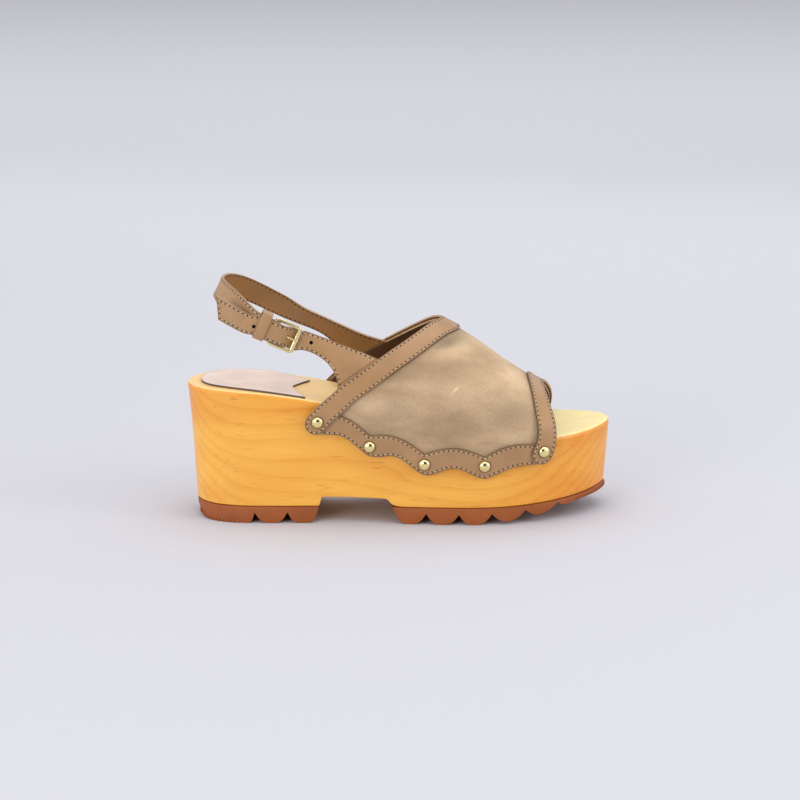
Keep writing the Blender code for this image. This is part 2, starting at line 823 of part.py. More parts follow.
def wing_grid(collar, hand, lift, forward):
    """The wing's middle surface, on the last: rows go from the collar band back to the strap."""
    columns = 4
    rows = []
    across = COLLAR_HALF_WIDTH - BAND_OVERHANG + CLEARANCE
    foot = []
    for j in range(columns + 1):
        distance = blend(WING_FOOT_HIGH, WING_FOOT_LOW, j / columns)
        if hand == MEDIAL:
            distance = collar.length - distance
        foot.append(collar.beside(distance, across))
    rows.append([off_last(x, turn, STRAP_WALL / 2) for x, turn in foot])
    for i, (top_x, top_z, low_x, low_z) in enumerate(WING):
        done = (i + 1) / len(WING)
        rise = lift * done
        low_forward = low_x + forward * (1 - done)
        row = []
        for j in range(columns + 1):
            x = blend(top_x, low_forward, j / columns)
            z = blend(top_z, low_z, j / columns) + rise
            row.append(off_last(x, turn_at(x, z, hand), STRAP_WALL / 2))
        rows.append(row)
    return rows


def strap_row(top, bottom):
    return [top.lerp(bottom, j / 4) for j in range(5)]


def in_buckle(back, up, out):
    return BUCKLE_CENTRE + BUCKLE_BACK * back + BUCKLE_UP * up + BUCKLE_OUT * out


def buckle_row(back, out):
    half = STRAP_WIDTH / 2
    return strap_row(in_buckle(back, half, out), in_buckle(back, -half, out))


def refined(rows, steps):
    """More rows on the same smooth surface, from a few."""
    knots = [0.0]
    for before, after in zip(rows, rows[1:]):
        middle = len(before) // 2
        knots.append(knots[-1] + (after[middle] - before[middle]).length)
    spots = []
    for k, count in enumerate(steps):
        spots += [blend(knots[k], knots[k + 1], n / count) for n in range(count)]
    spots.append(knots[-1])
    finer = []
    for spot in spots:
        row = []
        for j in range(len(rows[0])):
            row.append(Vector([smooth(knots, [r[j][axis] for r in rows], spot) for axis in range(3)]))
        finer.append(row)
    return finer


def make_lateral_strap(collar):
    """The lateral wing and the strap end that goes through the buckle and lies free behind it."""
    rows = wing_grid(collar, LATERAL, 0.0, 0.0)
    rows += [buckle_row(back, out) for back, out in BILLET_LINE]
    for top_x, top_y, top_z, low_x, low_y, low_z in TAIL_LINE:
        rows.append(strap_row(Vector((top_x, top_y, top_z)), Vector((low_x, low_y, low_z))))
    steps = [1] * (len(rows) - 1)
    for k in range(len(WING), len(rows) - 1):
        steps[k] = 2
    return leather_from("lateral_strap", refined(rows, steps), STRAP_WALL, "leather")


def make_sling_strap(collar):
    """The medial wing and the strap round the heel, folded about the buckle's hinge bar."""
    rows = wing_grid(collar, MEDIAL, MEDIAL_WING_LIFT, MEDIAL_WING_FORWARD)
    down = Vector((-math.sin(STRAP_LEAN), 0.0, -math.cos(STRAP_LEAN)))
    for x, y, z, width in SLING_LINE:
        top = Vector((x, y, z))
        rows.append(strap_row(top, top + down * width))
    steps = [1] * len(WING) + [2] * (len(rows) - len(WING) - 1)
    rows = refined(rows, steps)
    fold = [buckle_row(12.6, 1.35), buckle_row(10.2, 1.95)]
    for angle in range(90, 271, 20):
        turn = math.radians(angle)
        back = HINGE_BACK + FOLD_RADIUS * math.cos(turn)
        fold.append(buckle_row(back, FOLD_RADIUS * math.sin(turn)))
    fold += [buckle_row(10.2, -1.95), buckle_row(13.0, -1.5)]
    strap = leather_from("sling_strap", rows + fold, STRAP_WALL, "leather")
    slot = box_in_buckle("prong_slot", HINGE_BACK - 0.6, PRONG_SLOT_LENGTH, PRONG_SLOT_WIDTH, 8.0)
    cut(strap, slot)
    return strap


def box_in_buckle(name, back, length, width, depth):
    points = []
    for along in (-length / 2, length / 2):
        for up in (-width / 2, width / 2):
            for out in (-depth / 2, depth / 2):
                points.append(in_buckle(back + along, up, out))
    faces = [(0, 1, 3, 2), (4, 6, 7, 5), (0, 4, 5, 1), (2, 3, 7, 6), (0, 2, 6, 4), (1, 5, 7, 3)]
    return add_object(name, points, faces, "leather")


def ring_solid(name, outer, inner, place, near, far, finish):
    """A solid ring between an outer and an inner outline of the same number of corners."""
    size = len(outer)
    points = []
    for depth in (near, far):
        for outline in (outer, inner):
            points += [place(a, b, depth) for a, b in outline]
    faces = []
    for k in range(size):
        after = (k + 1) % size
        a, b, c, d = k, size + k, 2 * size + k, 3 * size + k
        a2, b2, c2, d2 = after, size + after, 2 * size + after, 3 * size + after
        faces += [(a, a2, b2, b), (c, d, d2, c2), (a, c, c2, a2), (b, b2, d2, d)]
    return add_object(name, points, faces, finish)


def cornered(low_a, high_a, low_b, high_b, corner):
    """A rectangle with each corner cut in two steps, as a rounded corner."""
    near = corner * 0.3
    return [
        (low_a + corner, low_b), (high_a - corner, low_b),
        (high_a - near, low_b + near), (high_a, low_b + corner),
        (high_a, high_b - corner), (high_a - near, high_b - near),
        (high_a - corner, high_b), (low_a + corner, high_b),
        (low_a + near, high_b - near), (low_a, high_b - corner),
        (low_a, low_b + corner), (low_a + near, low_b + near),
    ]


def make_buckle_frame():
    outer = cornered(-FRAME_HALF_LENGTH, FRAME_HALF_LENGTH, -FRAME_HALF_WIDTH, FRAME_HALF_WIDTH, FRAME_CORNER)
    inner = cornered(
        FRAME_OUTER_BAR - FRAME_HALF_LENGTH,
        FRAME_HALF_LENGTH - FRAME_HINGE_BAR,
        FRAME_SIDE_BAR - FRAME_HALF_WIDTH,
        FRAME_HALF_WIDTH - FRAME_SIDE_BAR,
        0.6,
    )
    half = FRAME_THICKNESS / 2
    frame = ring_solid("buckle_frame", outer, inner, in_buckle, -half, half, "brass")
    bevel = frame.modifiers.new("edges", "BEVEL")
    bevel.width = FRAME_BEVEL * MM
    bevel.segments = 1
    bevel.limit_method = "ANGLE"
    bevel.angle_limit = math.radians(50)
    return frame


def prong_line():
    """Middle line of the prong from its tip, over the outer bar and round the hinge bar."""
    rest = FRAME_THICKNESS / 2 + CLEARANCE + PRONG_RADIUS + 0.1
    hug = FRAME_HINGE_BAR / 2 + CLEARANCE + PRONG_RADIUS + 0.2
    line = [(-8.3, rest), (-6.5, rest), (-4.0, 1.85), (-1.5, 1.45), (1.0, 1.15), (3.4, 1.2), (5.4, 1.65)]
    for angle in range(90, -211, -30):
        turn = math.radians(angle)
        line.append((HINGE_BACK + hug * math.cos(turn), hug * math.sin(turn)))
    return line


def tube(name, line, radius_at, sides, finish):
    """A tube along a line in the buckle's middle plane."""
    rings = []
    for k, (back, out) in enumerate(line):
        before, after = line[max(k - 1, 0)], line[min(k + 1, len(line) - 1)]
        run, rise = after[0] - before[0], after[1] - before[1]
        length = math.hypot(run, rise)
        ring = []
        for side in range(sides):
            angle = 2 * math.pi * (side + 0.5) / sides
            up = radius_at(k) * math.cos(angle)
            away = radius_at(k) * math.sin(angle)
            ring.append(in_buckle(back - away * rise / length, up, out + away * run / length))
        rings.append(ring)
    points = [p for ring in rings for p in ring]
    faces = []
    for k in range(len(rings) - 1):
        for side in range(sides):
            a, b = k * sides + side, k * sides + (side + 1) % sides
            faces.append((a, b, b + sides, a + sides))
    faces.append(tuple(range(sides)))
    faces.append(tuple(len(points) - 1 - k for k in range(sides)))
    return add_object(name, points, faces, finish)


def make_buckle_prong(strap):
    line = prong_line()
    prong = tube("buckle_prong", line, lambda k: PRONG_RADIUS * (0.7 if k == 0 else 1.0), 8, "brass")
    hole = tube("prong_hole", line[1:6], lambda k: PRONG_RADIUS + 0.5, 10, "leather")
    cut(strap, hole)
    return prong


def make_keeper():
    """The leather loop that holds the strap end against the strap."""
    half = STRAP_WIDTH / 2 + KEEPER_SIDE_GAP
    wall = KEEPER_WALL
    outer = cornered(KEEPER_INNER - wall, KEEPER_OUTER + wall, -half - wall, half + wall, 1.5 * wall)
    inner = cornered(KEEPER_INNER, KEEPER_OUTER, -half, half, 0.75 * wall)

    def place(out, up, back):
        return in_buckle(back, up + KEEPER_LIFT, out)

    return ring_solid("keeper_loop", outer, inner, place, KEEPER_BACK, KEEPER_BACK + KEEPER_LENGTH, "leather")


def make_nail(name, hand, row, out):
    """A domed nail head that holds a band to the wood."""
    x, z = row[0], row[1]
    turn = turn_at(x, z, hand)
    seat = off_last(x, turn, out)
    normal = last_slopes(x, turn)[2]
    profile = [(math.cos(math.radians(a)), math.sin(math.radians(a))) for a in (0, 22, 45, 68)]
    sides = 14
    mesh = bpy.data.meshes.new(name)
    shaper = bmesh.new()
    rings = []
    for share, rise in [(0.86, 0.0)] + [(c, 0.12 + 0.88 * s) for c, s in profile]:
        ring = []
        for side in range(sides):
            angle = 2 * math.pi * side / sides
            reach = NAIL_RADIUS * share
            spot = Vector((reach * math.cos(angle), reach * math.sin(angle), NAIL_HEIGHT * rise))
            ring.append(shaper.verts.new(spot * MM))
        rings.append(ring)
    for before, after in zip(rings, rings[1:]):
        for side in range(sides):
            nxt = (side + 1) % sides
            shaper.faces.new((before[side], before[nxt], after[nxt], after[side]))
    shaper.faces.new(list(reversed(rings[0])))
    top = shaper.verts.new((0.0, 0.0, NAIL_HEIGHT * MM))
    for side in range(sides):
        shaper.faces.new((rings[-1][side], rings[-1][(side + 1) % sides], top))
    bmesh.ops.recalc_face_normals(shaper, faces=shaper.faces)
    shaper.to_mesh(mesh)
    shaper.free()
    mesh.shade_smooth()
    mesh.materials.append(material("brass"))
    nail = bpy.data.objects.new(name, mesh)
    bpy.context.scene.collection.objects.link(nail)
    nail.location = world(seat)
    nail.rotation_euler = normal.to_track_quat("Z", "Y").to_euler()
    return nail


def make_nails():
    single = VAMP_WALL + BAND_WALL + 2 * CLEARANCE
    double = single + BAND_WALL + CLEARANCE
    for hand, side in ((LATERAL, "lateral"), (MEDIAL, "medial")):
        rows = nails_of(hand)
        for number, row in enumerate(rows, start=1):
            seat = double if number in (1, len(rows)) else single
            make_nail(f"nail_{side}_{number}", hand, row, seat + NAIL_SEAT_GAP)


def clear_scene():
    for existing in list(bpy.data.objects):
        bpy.data.objects.remove(existing, do_unlink=True)


def main():
    clear_scene()
    make_wood_sole()
    make_outsole("heel_outsole", HEEL_LUGS)
    make_outsole("forefoot_outsole", FOREFOOT_LUGS)
    make_sock_pad()
    collar = band_route(COLLAR_LINE, COLLAR_RIDGE_X)
    toe = band_route(TOE_LINE, TOE_RIDGE_X)
    make_vamp(collar, toe)
    make_side_band("side_band_lateral", LATERAL)
    make_side_band("side_band_medial", MEDIAL)
    make_band("collar_band", collar, COLLAR_HALF_WIDTH)
    make_band("toe_band", toe, TOE_HALF_WIDTH)
    strap = make_lateral_strap(collar)
    make_sling_strap(collar)
    make_buckle_frame()
    make_buckle_prong(strap)
    make_keeper()
    make_nails()


main()
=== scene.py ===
"""Looks of a right-foot wooden sole sandal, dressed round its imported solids.

Each piece starts from its own solid: the faces are welded into quads, smoothed and given rounded
edges. Stitches, nails and tread ribs are then laid on them by Geometry Nodes. Lengths are in metres,
except where a name or comment says otherwise.
"""

import json
import math

import bmesh
import bpy
from bpy.props import FloatProperty, FloatVectorProperty, IntProperty, PointerProperty
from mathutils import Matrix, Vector
from mathutils.bvhtree import BVHTree
from mathutils.kdtree import KDTree

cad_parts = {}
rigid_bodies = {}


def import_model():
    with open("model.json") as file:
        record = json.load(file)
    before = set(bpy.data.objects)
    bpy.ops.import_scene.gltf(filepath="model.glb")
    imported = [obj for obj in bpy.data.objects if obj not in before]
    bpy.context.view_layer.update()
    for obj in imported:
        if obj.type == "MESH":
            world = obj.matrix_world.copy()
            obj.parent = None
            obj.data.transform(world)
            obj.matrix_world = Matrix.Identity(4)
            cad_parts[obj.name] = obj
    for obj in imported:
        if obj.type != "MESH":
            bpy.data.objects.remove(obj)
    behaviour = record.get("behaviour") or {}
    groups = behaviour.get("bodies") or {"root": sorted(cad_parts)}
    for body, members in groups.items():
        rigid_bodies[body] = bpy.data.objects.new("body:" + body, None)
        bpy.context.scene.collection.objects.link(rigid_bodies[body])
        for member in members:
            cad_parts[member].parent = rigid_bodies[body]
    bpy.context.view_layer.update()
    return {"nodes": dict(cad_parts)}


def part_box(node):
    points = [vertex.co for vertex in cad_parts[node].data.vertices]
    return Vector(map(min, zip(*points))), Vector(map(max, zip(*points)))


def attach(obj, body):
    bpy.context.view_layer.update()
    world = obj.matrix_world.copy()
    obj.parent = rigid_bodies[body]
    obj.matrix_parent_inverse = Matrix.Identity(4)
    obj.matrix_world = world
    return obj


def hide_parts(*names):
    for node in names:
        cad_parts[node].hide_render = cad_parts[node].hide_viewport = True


bl_info = {
    "name": "Wooden sole sandal",
    "version": (1, 0, 0),
    "blender": (4, 5, 0),
    "location": "View3D > Sidebar > Sandal",
    "description": "Dresses the solids of a wooden sole sandal in wood, suede, leather, rubber and brass",
    "category": "Object",
}

for leftover in list(bpy.data.objects):
    bpy.data.objects.remove(leftover, do_unlink=True)
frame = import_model()

MM = 0.001
BODY = "root"

# Material numbers of a sheet of leather: its two faces, its cut edge, and the edge painted dark beside
# the suede, which is partly edge paint and partly painted shade in the gap there
OUTSIDE, RIM, INSIDE, DARK_EDGE_AND_SHADE = 0, 1, 2, 3

# Corners closer together than this are one corner
WELD = 1e-6

# How far in from a cut edge the stored nearness to it reaches
EDGE_REACH = 4.0 * MM

# A seam is traced in steps of this length, and each run of it has at least so many points. It breaks off
# where another piece lies over it, between this start and reach, and where a joined piece comes this near.
SEAM_STEP = 1.0 * MM
SHORTEST_RUN = 5
COVER_START = 0.05 * MM
COVER_REACH = 3 * MM
JOIN_REACH = 1.6 * MM

# Rounding of the small pieces' edges
TREAD_ROUND = 0.35 * MM
KEEPER_ROUND = 0.35 * MM
FRAME_ROUND = 0.25 * MM
PRONG_ROUND = 0.1 * MM

# A nail head stands a little off its seat, and is a little narrower than its solid
NAIL_NODES = sorted(name for name in frame["nodes"] if name.startswith("nail_"))
NAIL_LIFT = 0.2 * MM
NAIL_SLACK = 0.05 * MM
# The dark ring of painted shade round each head is drawn with a wire of this radius
NAIL_RING = 0.28 * MM

# A tread rib's size outward, along the rim and upward, and how high above the rim it sits
RIB_SIZE = (1.8 * MM, 1.4 * MM, 1.7 * MM)
RIB_LIFT = Vector((0, 0, 0.9 * MM))

# Where the ribs run: from this x to the end of the shoe, round a middle at x and y
RIBBED = {"heel_outsole": (-0.096, (-0.080, -0.004)), "forefoot_outsole": (0.104, (0.080, 0.004))}

# Lines that the upper and the heel strap turn round
LAST_AXIS_Y = 0.5 * (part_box("vamp")[0].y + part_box("vamp")[1].y)
LAST_AXIS_Z = 0.055
HEEL_AXIS = Vector((-0.066, -0.004, 0.0))

# Made once and shared: the finishes, the stitch trees, and the pieces that seams are laid on
STORE = {}


def linear(hex_colour):
    """An sRGB hex colour as linear RGBA."""
    channels = [int(hex_colour[k : k + 2], 16) / 255 for k in (1, 3, 5)]
    return tuple(c / 12.92 if c <= 0.04045 else ((c + 0.055) / 1.055) ** 2.4 for c in channels) + (1.0,)


def colour_of(name, hex_colour):
    """A colour that a user can change, from its sRGB hex."""
    return FloatVectorProperty(
        name=name, description=name, subtype="COLOR", size=4, min=0, max=1, default=linear(hex_colour)
    )


def size_of(name, millimetres):
    """A length that a user can change."""
    return FloatProperty(
        name=name, description=name, subtype="DISTANCE", unit="LENGTH", default=millimetres * MM
    )


def power_of(name, watts):
    """The power of a light that a user can change."""
    return FloatProperty(name=name, description=name + ", in watts", default=watts, min=0.0)


class SandalSizes(bpy.types.PropertyGroup):
    """Sizes of what is laid on the solids."""

    stitch_pitch: size_of("Length from one stitch hole to the next", 2.9)
    stitch_margin: size_of("Distance of a seam from its leather's edge", 1.35)
    thread_width: size_of("Width of the sewing thread", 0.42)
    hole_width: size_of("Width of a stitch hole", 0.85)
    edge_round: size_of("Rounding of a leather edge", 0.28)
    wood_round: size_of("Rounding of the wood's edges", 0.45)
    ring_width: size_of("Width of one year ring of the wood", 6.5)
    grain_width: size_of("Width of one pebble of the leather's grain", 0.8)
    strap_hole: size_of("Width of a punched strap hole", 2.2)
    tread_pitch: size_of("Length from one fine tread rib to the next", 2.3)
    smoothing: IntProperty(
        name="Smoothing", description="Times that each face is split", default=2, min=1, max=3
    )


class SandalColours(bpy.types.PropertyGroup):
    """Colours of the finishes."""

    wood_pale: colour_of("Pale early wood under honey varnish", "#FABD4E")
    wood_deep: colour_of("Deep late wood under honey varnish", "#E5901F")
    wood_streak: colour_of("Brown fleck in the wood", "#C8701E")
    # The footbed colours are painted top light on the upward faces, and the toe one is palest as a painted
    # highlight
    footbed: colour_of("Sanded footbed at the toe", "#FFF4AE")
    footbed_rear: colour_of("Sanded footbed at the heel", "#FFDB92")
    rubber: colour_of("Caramel rubber", "#9C5528")
    suede: colour_of("Suede", "#B69A7A")
    suede_pale: colour_of("Suede brushed up", "#CDB491")
    suede_dark: colour_of("Suede brushed down", "#927A5D")
    leather: colour_of("Smooth leather", "#A98157")
    # The dark edge beside the suede is partly edge paint and partly painted shade in the gap there
    edge: colour_of("Painted edge beside the suede", "#5F452F")
    strap_edge: colour_of("Natural edge of bands and straps", "#AA8865")
    lining: colour_of("Lining leather", "#966A38")
    vamp_lining: colour_of("Lining of the vamp", "#4E2610")
    sock: colour_of("Sock pad", "#EAD2C2")
    sock_edge: colour_of("Cut edge of the sock pad", "#574844")
    brass: colour_of("Nail brass", "#F2E3A0")
    gold: colour_of("Buckle metal", "#EAD7A2")
    thread: colour_of("Thread", "#D9C39F")
    hole: colour_of("Inside of a hole", "#2B1E16")


class StageSettings(bpy.types.PropertyGroup):
    """The camera of the photograph and a plain studio."""

    azimuth: FloatProperty(name="Azimuth", description="Turn toward the heel, in degrees", default=-1.5)
    elevation: FloatProperty(name="Elevation", description="Rise above the floor, in degrees", default=13.0)
    distance: FloatProperty(name="Distance", description="Camera to the shoe", unit="LENGTH", default=1.4)
    lens: FloatProperty(name="Lens", description="Focal length on a 36 mm sensor", default=106.07)
    paper: colour_of("Backdrop paper", "#CBCBD1")
    daylight: FloatProperty(name="Daylight", description="Strength of the light all round", default=1.1)
    overhead: power_of("Large light overhead", 9.0)
    back: power_of("Strip light behind the shoe", 1.6)
    backdrop: power_of("Light on the far paper", 22.0)
    front: power_of("Front light", 9.5)


# Each band, and the way from it to the suede
BANDS = {
    "collar_band": Vector((1, 0, 0)),
    "toe_band": Vector((-1, 0, 0)),
    "side_band_lateral": Vector((0, 0, 1)),
    "side_band_medial": Vector((0, 0, 1)),
}

CAMERA_TARGET = Vector((0.0, -0.0029, 0.0669))
LIGHT_TARGET = (0.0, 0.0, 0.05)
FAR_PAPER = (0.0, 4.2, 0.0)

# The way from the shoe to the unlit room behind the camera
DARK_ROOM = (0.03, -0.975, 0.22)

# Punched holes of the buckled strap: x and z
PUNCHED = ((-0.0846, 0.1196), (-0.052, 0.1085))
PUNCH_DEPTH = 1.9 * MM

# Brush marks in the suede, in millimetres: middle x and z, half length and width, slant in degrees,
# and how much paler (or, below zero, darker) the nap lies there. The dark mark just under the collar
# band is painted shade, and the pale mark below it is made paler as painted top light.
BRUSH_MARKS_AND_PAINTED_LIGHT = (
    # Painted shade just under the collar band
    (27, 105.5, 11, 3.6, 14, -1.3),
    # Made paler as painted top light
    (29, 98, 13, 4.6, 0, 1.1),
    (57, 91, 16, 4, -33, 0.7),
    (64, 82, 11, 6, -20, 0.7),
    (3, 81, 12, 6, 20, 0.25),
    (-4, 71, 9, 6, 15, -0.5),
    (-21, 69, 8, 4, 30, 0.4),
    (22, 63, 15, 5, 8, -0.5),
    (62, 66, 14, 8, 15, -0.85),
    (33, 66, 7, 5, 20, -0.4),
    (15, 50, 15, 6, -6, 0.8),
    (50, 51, 13, 6, 12, 0.75),
    (75, 52, 5, 6, 0, 0.3),
    (31, 81, 2.8, 0.55, 45, 1.5),
)

# Soft troughs where the leather has folded, in millimetres: the same columns, with the depth last
CREASES = (
    (-40, 99, 9, 0.9, 62, 0.35),
    (-47, 101, 8, 1.1, 70, 0.25),
    (-33, 96, 7, 1.0, 48, 0.25),
    (-70, 113.5, 5, 0.9, 75, 0.25),
    (-90, 124, 5, 1.0, 60, 0.2),
    (26, 104.5, 9, 1.6, 14, 0.35),
    (60, 70, 14, 2.2, 30, 0.3),
    (18, 62, 12, 2.0, 15, 0.25),
    (66, 84, 9, 1.8, -40, 0.25),
)

# The swell beside a trough, as shares of the trough's width and depth
SWELL_WIDTH = 2.4
SWELL_HEIGHT = 0.45


# Nodes and materials. Inputs that share a name go by number. A Map Range has its value at 0, the range
# that the value comes from at 1 and 2, and the range that it goes to at 3 and 4. A Mapping has its place,
# turn and scale at 1 to 3. A Mix has its share at 0 and its two colours at 6 and 7.


def node(tree, kind, inputs=None, stops=None, **settings):
    """Adds a node, with its settings, its input values or links, and the stops of a ramp."""
    made = tree.nodes.new(kind)
    for name, value in settings.items():
        setattr(made, name, value)
    for name, value in (inputs or {}).items():
        if isinstance(value, bpy.types.NodeSocket):
            tree.links.new(value, made.inputs[name])
        else:
            made.inputs[name].default_value = value
    if stops:
        elements = made.color_ramp.elements
        while len(elements) < len(stops):
            elements.new(0.5)
        for element, (position, shade) in zip(elements, stops):
            element.position = position
            element.color = shade
    return made


def new_material(name, **values):
    """A material with its shader's plain values set, and the place on the shoe that its textures follow."""
    made = bpy.data.materials.new(name)
    made.use_nodes = True
    tree = made.node_tree
    shader = tree.nodes["Principled BSDF"]
    for key, value in values.items():
        shader.inputs[key.replace("_", " ")].default_value = value
    return made, tree, shader, node(tree, "ShaderNodeTexCoord").outputs["Object"]


def grey(value):
    return (value, value, value, 1.0)


def uneven(tree, shader, colour, pattern, darkest, palest, seen=(0.3, 0.7)):
    """Colours the shader, darker where the pattern is low and paler where it is high."""
    shade = node(
        tree, "ShaderNodeMapRange", {0: pattern, 1: seen[0], 2: seen[1], 3: darkest, 4: palest}
    )
    made = node(
        tree, "ShaderNodeVectorMath", {0: tuple(colour)[:3], 1: shade.outputs[0]}, operation="MULTIPLY"
    )
    tree.links.new(made.outputs[0], shader.inputs["Base Color"])


def year_rings(tree, place, ring_width):
    """Rings of a log whose heart lies outside the block, low on its inner side."""
    log = node(
        tree, "ShaderNodeMapping", {0: place, 1: (0.0, -0.055, 0.03), 2: (0.0, 0.05, 0.03), 3: (0.16, 1, 1)}
    )
    bend = node(tree, "ShaderNodeTexNoise", {"Vector": log.outputs[0], "Scale": 17.0, "Detail": 2.0})
    shift = node(
        tree, "ShaderNodeVectorMath", {0: bend.outputs["Color"], 1: (0.5, 0.5, 0.5)}, operation="SUBTRACT"
    )
    bent = node(
        tree,
        "ShaderNodeVectorMath",
        {0: shift.outputs[0], 1: (0.035, 0.035, 0.035), 2: log.outputs[0]},
        operation="MULTIPLY_ADD",
    )
    # A ring wave of scale 1 repeats every 0.314 units.
    rings = node(
        tree,
        "ShaderNodeTexWave",
        {"Vector": bent.outputs[0], "Scale": 0.314 / ring_width, "Distortion": 2.2, "Detail": 3.0},
        wave_type="RINGS",
        rings_direction="X",
        wave_profile="SAW",
    )
    stops = [(0.0, grey(0.18)), (0.45, grey(0.08)), (0.75, grey(0.36)), (0.95, grey(0.66)), (1.0, grey(0.28))]
    return node(tree, "ShaderNodeValToRGB", {0: rings.outputs["Fac"]}, stops).outputs[0]


def deeper_tone_at_toe_and_high_sides(tree, spot):
    """The wood is a deeper tone toward the toe and high on the sides, near the top of the heel."""
    depths = [
        node(
            tree,
            "ShaderNodeMapRange",
            {0: along, 1: start, 2: end, 3: 0.0, 4: depth},
            interpolation_type="SMOOTHSTEP",
        ).outputs[0]
        for along, start, end, depth in ((spot[0], 0.04, 0.105, 0.5), (spot[2], 0.052, 0.07, 0.42))
    ]
    return node(tree, "ShaderNodeMath", {0: depths[0], 1: depths[1]}, operation="MAXIMUM").outputs[0]


def honey_varnished_pine(sizes, colours):
    """Pine, sawn along the foot and varnished: year rings show as streaks, and as arcs at heel and toe."""
    made, tree, shader, place = new_material(
        "Honey varnished pine", Roughness=0.45, Coat_Weight=0.2, Coat_Roughness=0.25
    )
    rings = year_rings(tree, place, sizes.ring_width)
    # Fibres about half a millimetre wide run the length of the block.
    fibre_place = node(tree, "ShaderNodeMapping", {0: place, 3: (22.0, 900.0, 900.0)})
    fibres = node(tree, "ShaderNodeTexNoise", {"Vector": fibre_place.outputs[0], "Scale": 1.0, "Detail": 4.0})
    cloud_place = node(tree, "ShaderNodeMapping", {0: place, 3: (9.0, 45.0, 45.0)})
    cloud = node(tree, "ShaderNodeTexNoise", {"Vector": cloud_place.outputs[0], "Scale": 1.0, "Detail": 2.0})
    broad = node(tree, "ShaderNodeValToRGB", {0: cloud.outputs[0]}, [(0.36, grey(0.0)), (0.66, grey(1.0))])
    # Each layer darkens the wood by its own share, and 0.12 is taken off for the palest wood.
    tone = node(tree, "ShaderNodeMath", {0: rings, 1: 0.5}, operation="MULTIPLY")
    for layer, share in ((broad, 0.42), (fibres, 0.3)):
        tone = node(
            tree,
            "ShaderNodeMath",
            {0: layer.outputs[0], 1: share, 2: tone.outputs[0]},
            operation="MULTIPLY_ADD",
        )
    spot = node(tree, "ShaderNodeSeparateXYZ", {0: place}).outputs
    tone = node(tree, "ShaderNodeMath", {0: tone.outputs[0], 1: deeper_tone_at_toe_and_high_sides(tree, spot)}, operation="ADD")
    tone = node(tree, "ShaderNodeMath", {0: tone.outputs[0], 1: 0.12}, operation="SUBTRACT", use_clamp=True)
    wood = node(
        tree,
        "ShaderNodeMix",
        {0: tone.outputs[0], 6: tuple(colours.wood_pale), 7: tuple(colours.wood_deep)},
        data_type="RGBA",
    )
    # Short brown flecks, 10 to 25 mm long, lie along the fibres.
    fleck_place = node(tree, "ShaderNodeMapping", {0: place, 3: (55.0, 620.0, 620.0)})
    fleck = node(tree, "ShaderNodeTexNoise", {"Vector": fleck_place.outputs[0], "Scale": 1.0, "Detail": 1.0})
    fleck_shade = node(
        tree, "ShaderNodeValToRGB", {0: fleck.outputs[0]}, [(0.64, grey(0.0)), (0.8, grey(0.55))]
    )
    flecked = node(
        tree,
        "ShaderNodeMix",
        {0: fleck_shade.outputs[0], 6: wood.outputs[2], 7: tuple(colours.wood_streak)},
        data_type="RGBA",
    )
    # The footbed, facing up, is painted paler than the sides as painted top light, and palest at the toe
    # as a painted highlight.
    facing = node(tree, "ShaderNodeSeparateXYZ", {0: node(tree, "ShaderNodeNewGeometry").outputs["Normal"]})
    upward = node(tree, "ShaderNodeMapRange", {0: facing.outputs[2], 1: 0.45, 2: 0.85, 3: 0.0, 4: 0.82})
    streaked = node(tree, "ShaderNodeMapRange", {0: fibres.outputs[0], 1: 0.3, 2: 0.7, 3: 1.1, 4: 0.8})
    painted_top_light = node(
        tree, "ShaderNodeMath", {0: upward.outputs[0], 1: streaked.outputs[0]}, operation="MULTIPLY"
    )
    forward = node(tree, "ShaderNodeMapRange", {0: spot[0], 1: -0.05, 2: 0.09})
    lit_footbed_colour = node(
        tree,
        "ShaderNodeMix",
        {0: forward.outputs[0], 6: tuple(colours.footbed_rear), 7: tuple(colours.footbed)},
        data_type="RGBA",
    )
    top = node(
        tree,
        "ShaderNodeMix",
        {0: painted_top_light.outputs[0], 6: flecked.outputs[2], 7: lit_footbed_colour.outputs[2]},
        data_type="RGBA",
    )
    tree.links.new(top.outputs[2], shader.inputs["Base Color"])
    rough = node(tree, "ShaderNodeMapRange", {0: fibres.outputs[0], 3: 0.36, 4: 0.5})
    tree.links.new(rough.outputs[0], shader.inputs["Roughness"])
    bump = node(tree, "ShaderNodeBump", {"Strength": 0.12, "Distance": 0.0002, "Height": fibres.outputs[0]})
    tree.links.new(bump.outputs[0], shader.inputs["Normal"])
    return made


def moulded_rubber(colours):
    """Caramel rubber as it leaves the mould: matt, with a faint bloom."""
    made, tree, shader, place = new_material(
        "Moulded caramel rubber", Roughness=0.62, Specular_IOR_Level=0.35
    )
    bloom = node(tree, "ShaderNodeTexNoise", {"Vector": place, "Scale": 55.0, "Detail": 4.0})
    uneven(tree, shader, colours.rubber, bloom.outputs[0], 0.86, 1.12)
    skin = node(tree, "ShaderNodeTexNoise", {"Vector": place, "Scale": 1600.0, "Detail": 3.0})
    bump = node(tree, "ShaderNodeBump", {"Strength": 0.25, "Distance": 0.0002, "Height": skin.outputs[0]})
    tree.links.new(bump.outputs[0], shader.inputs["Normal"])
    return made


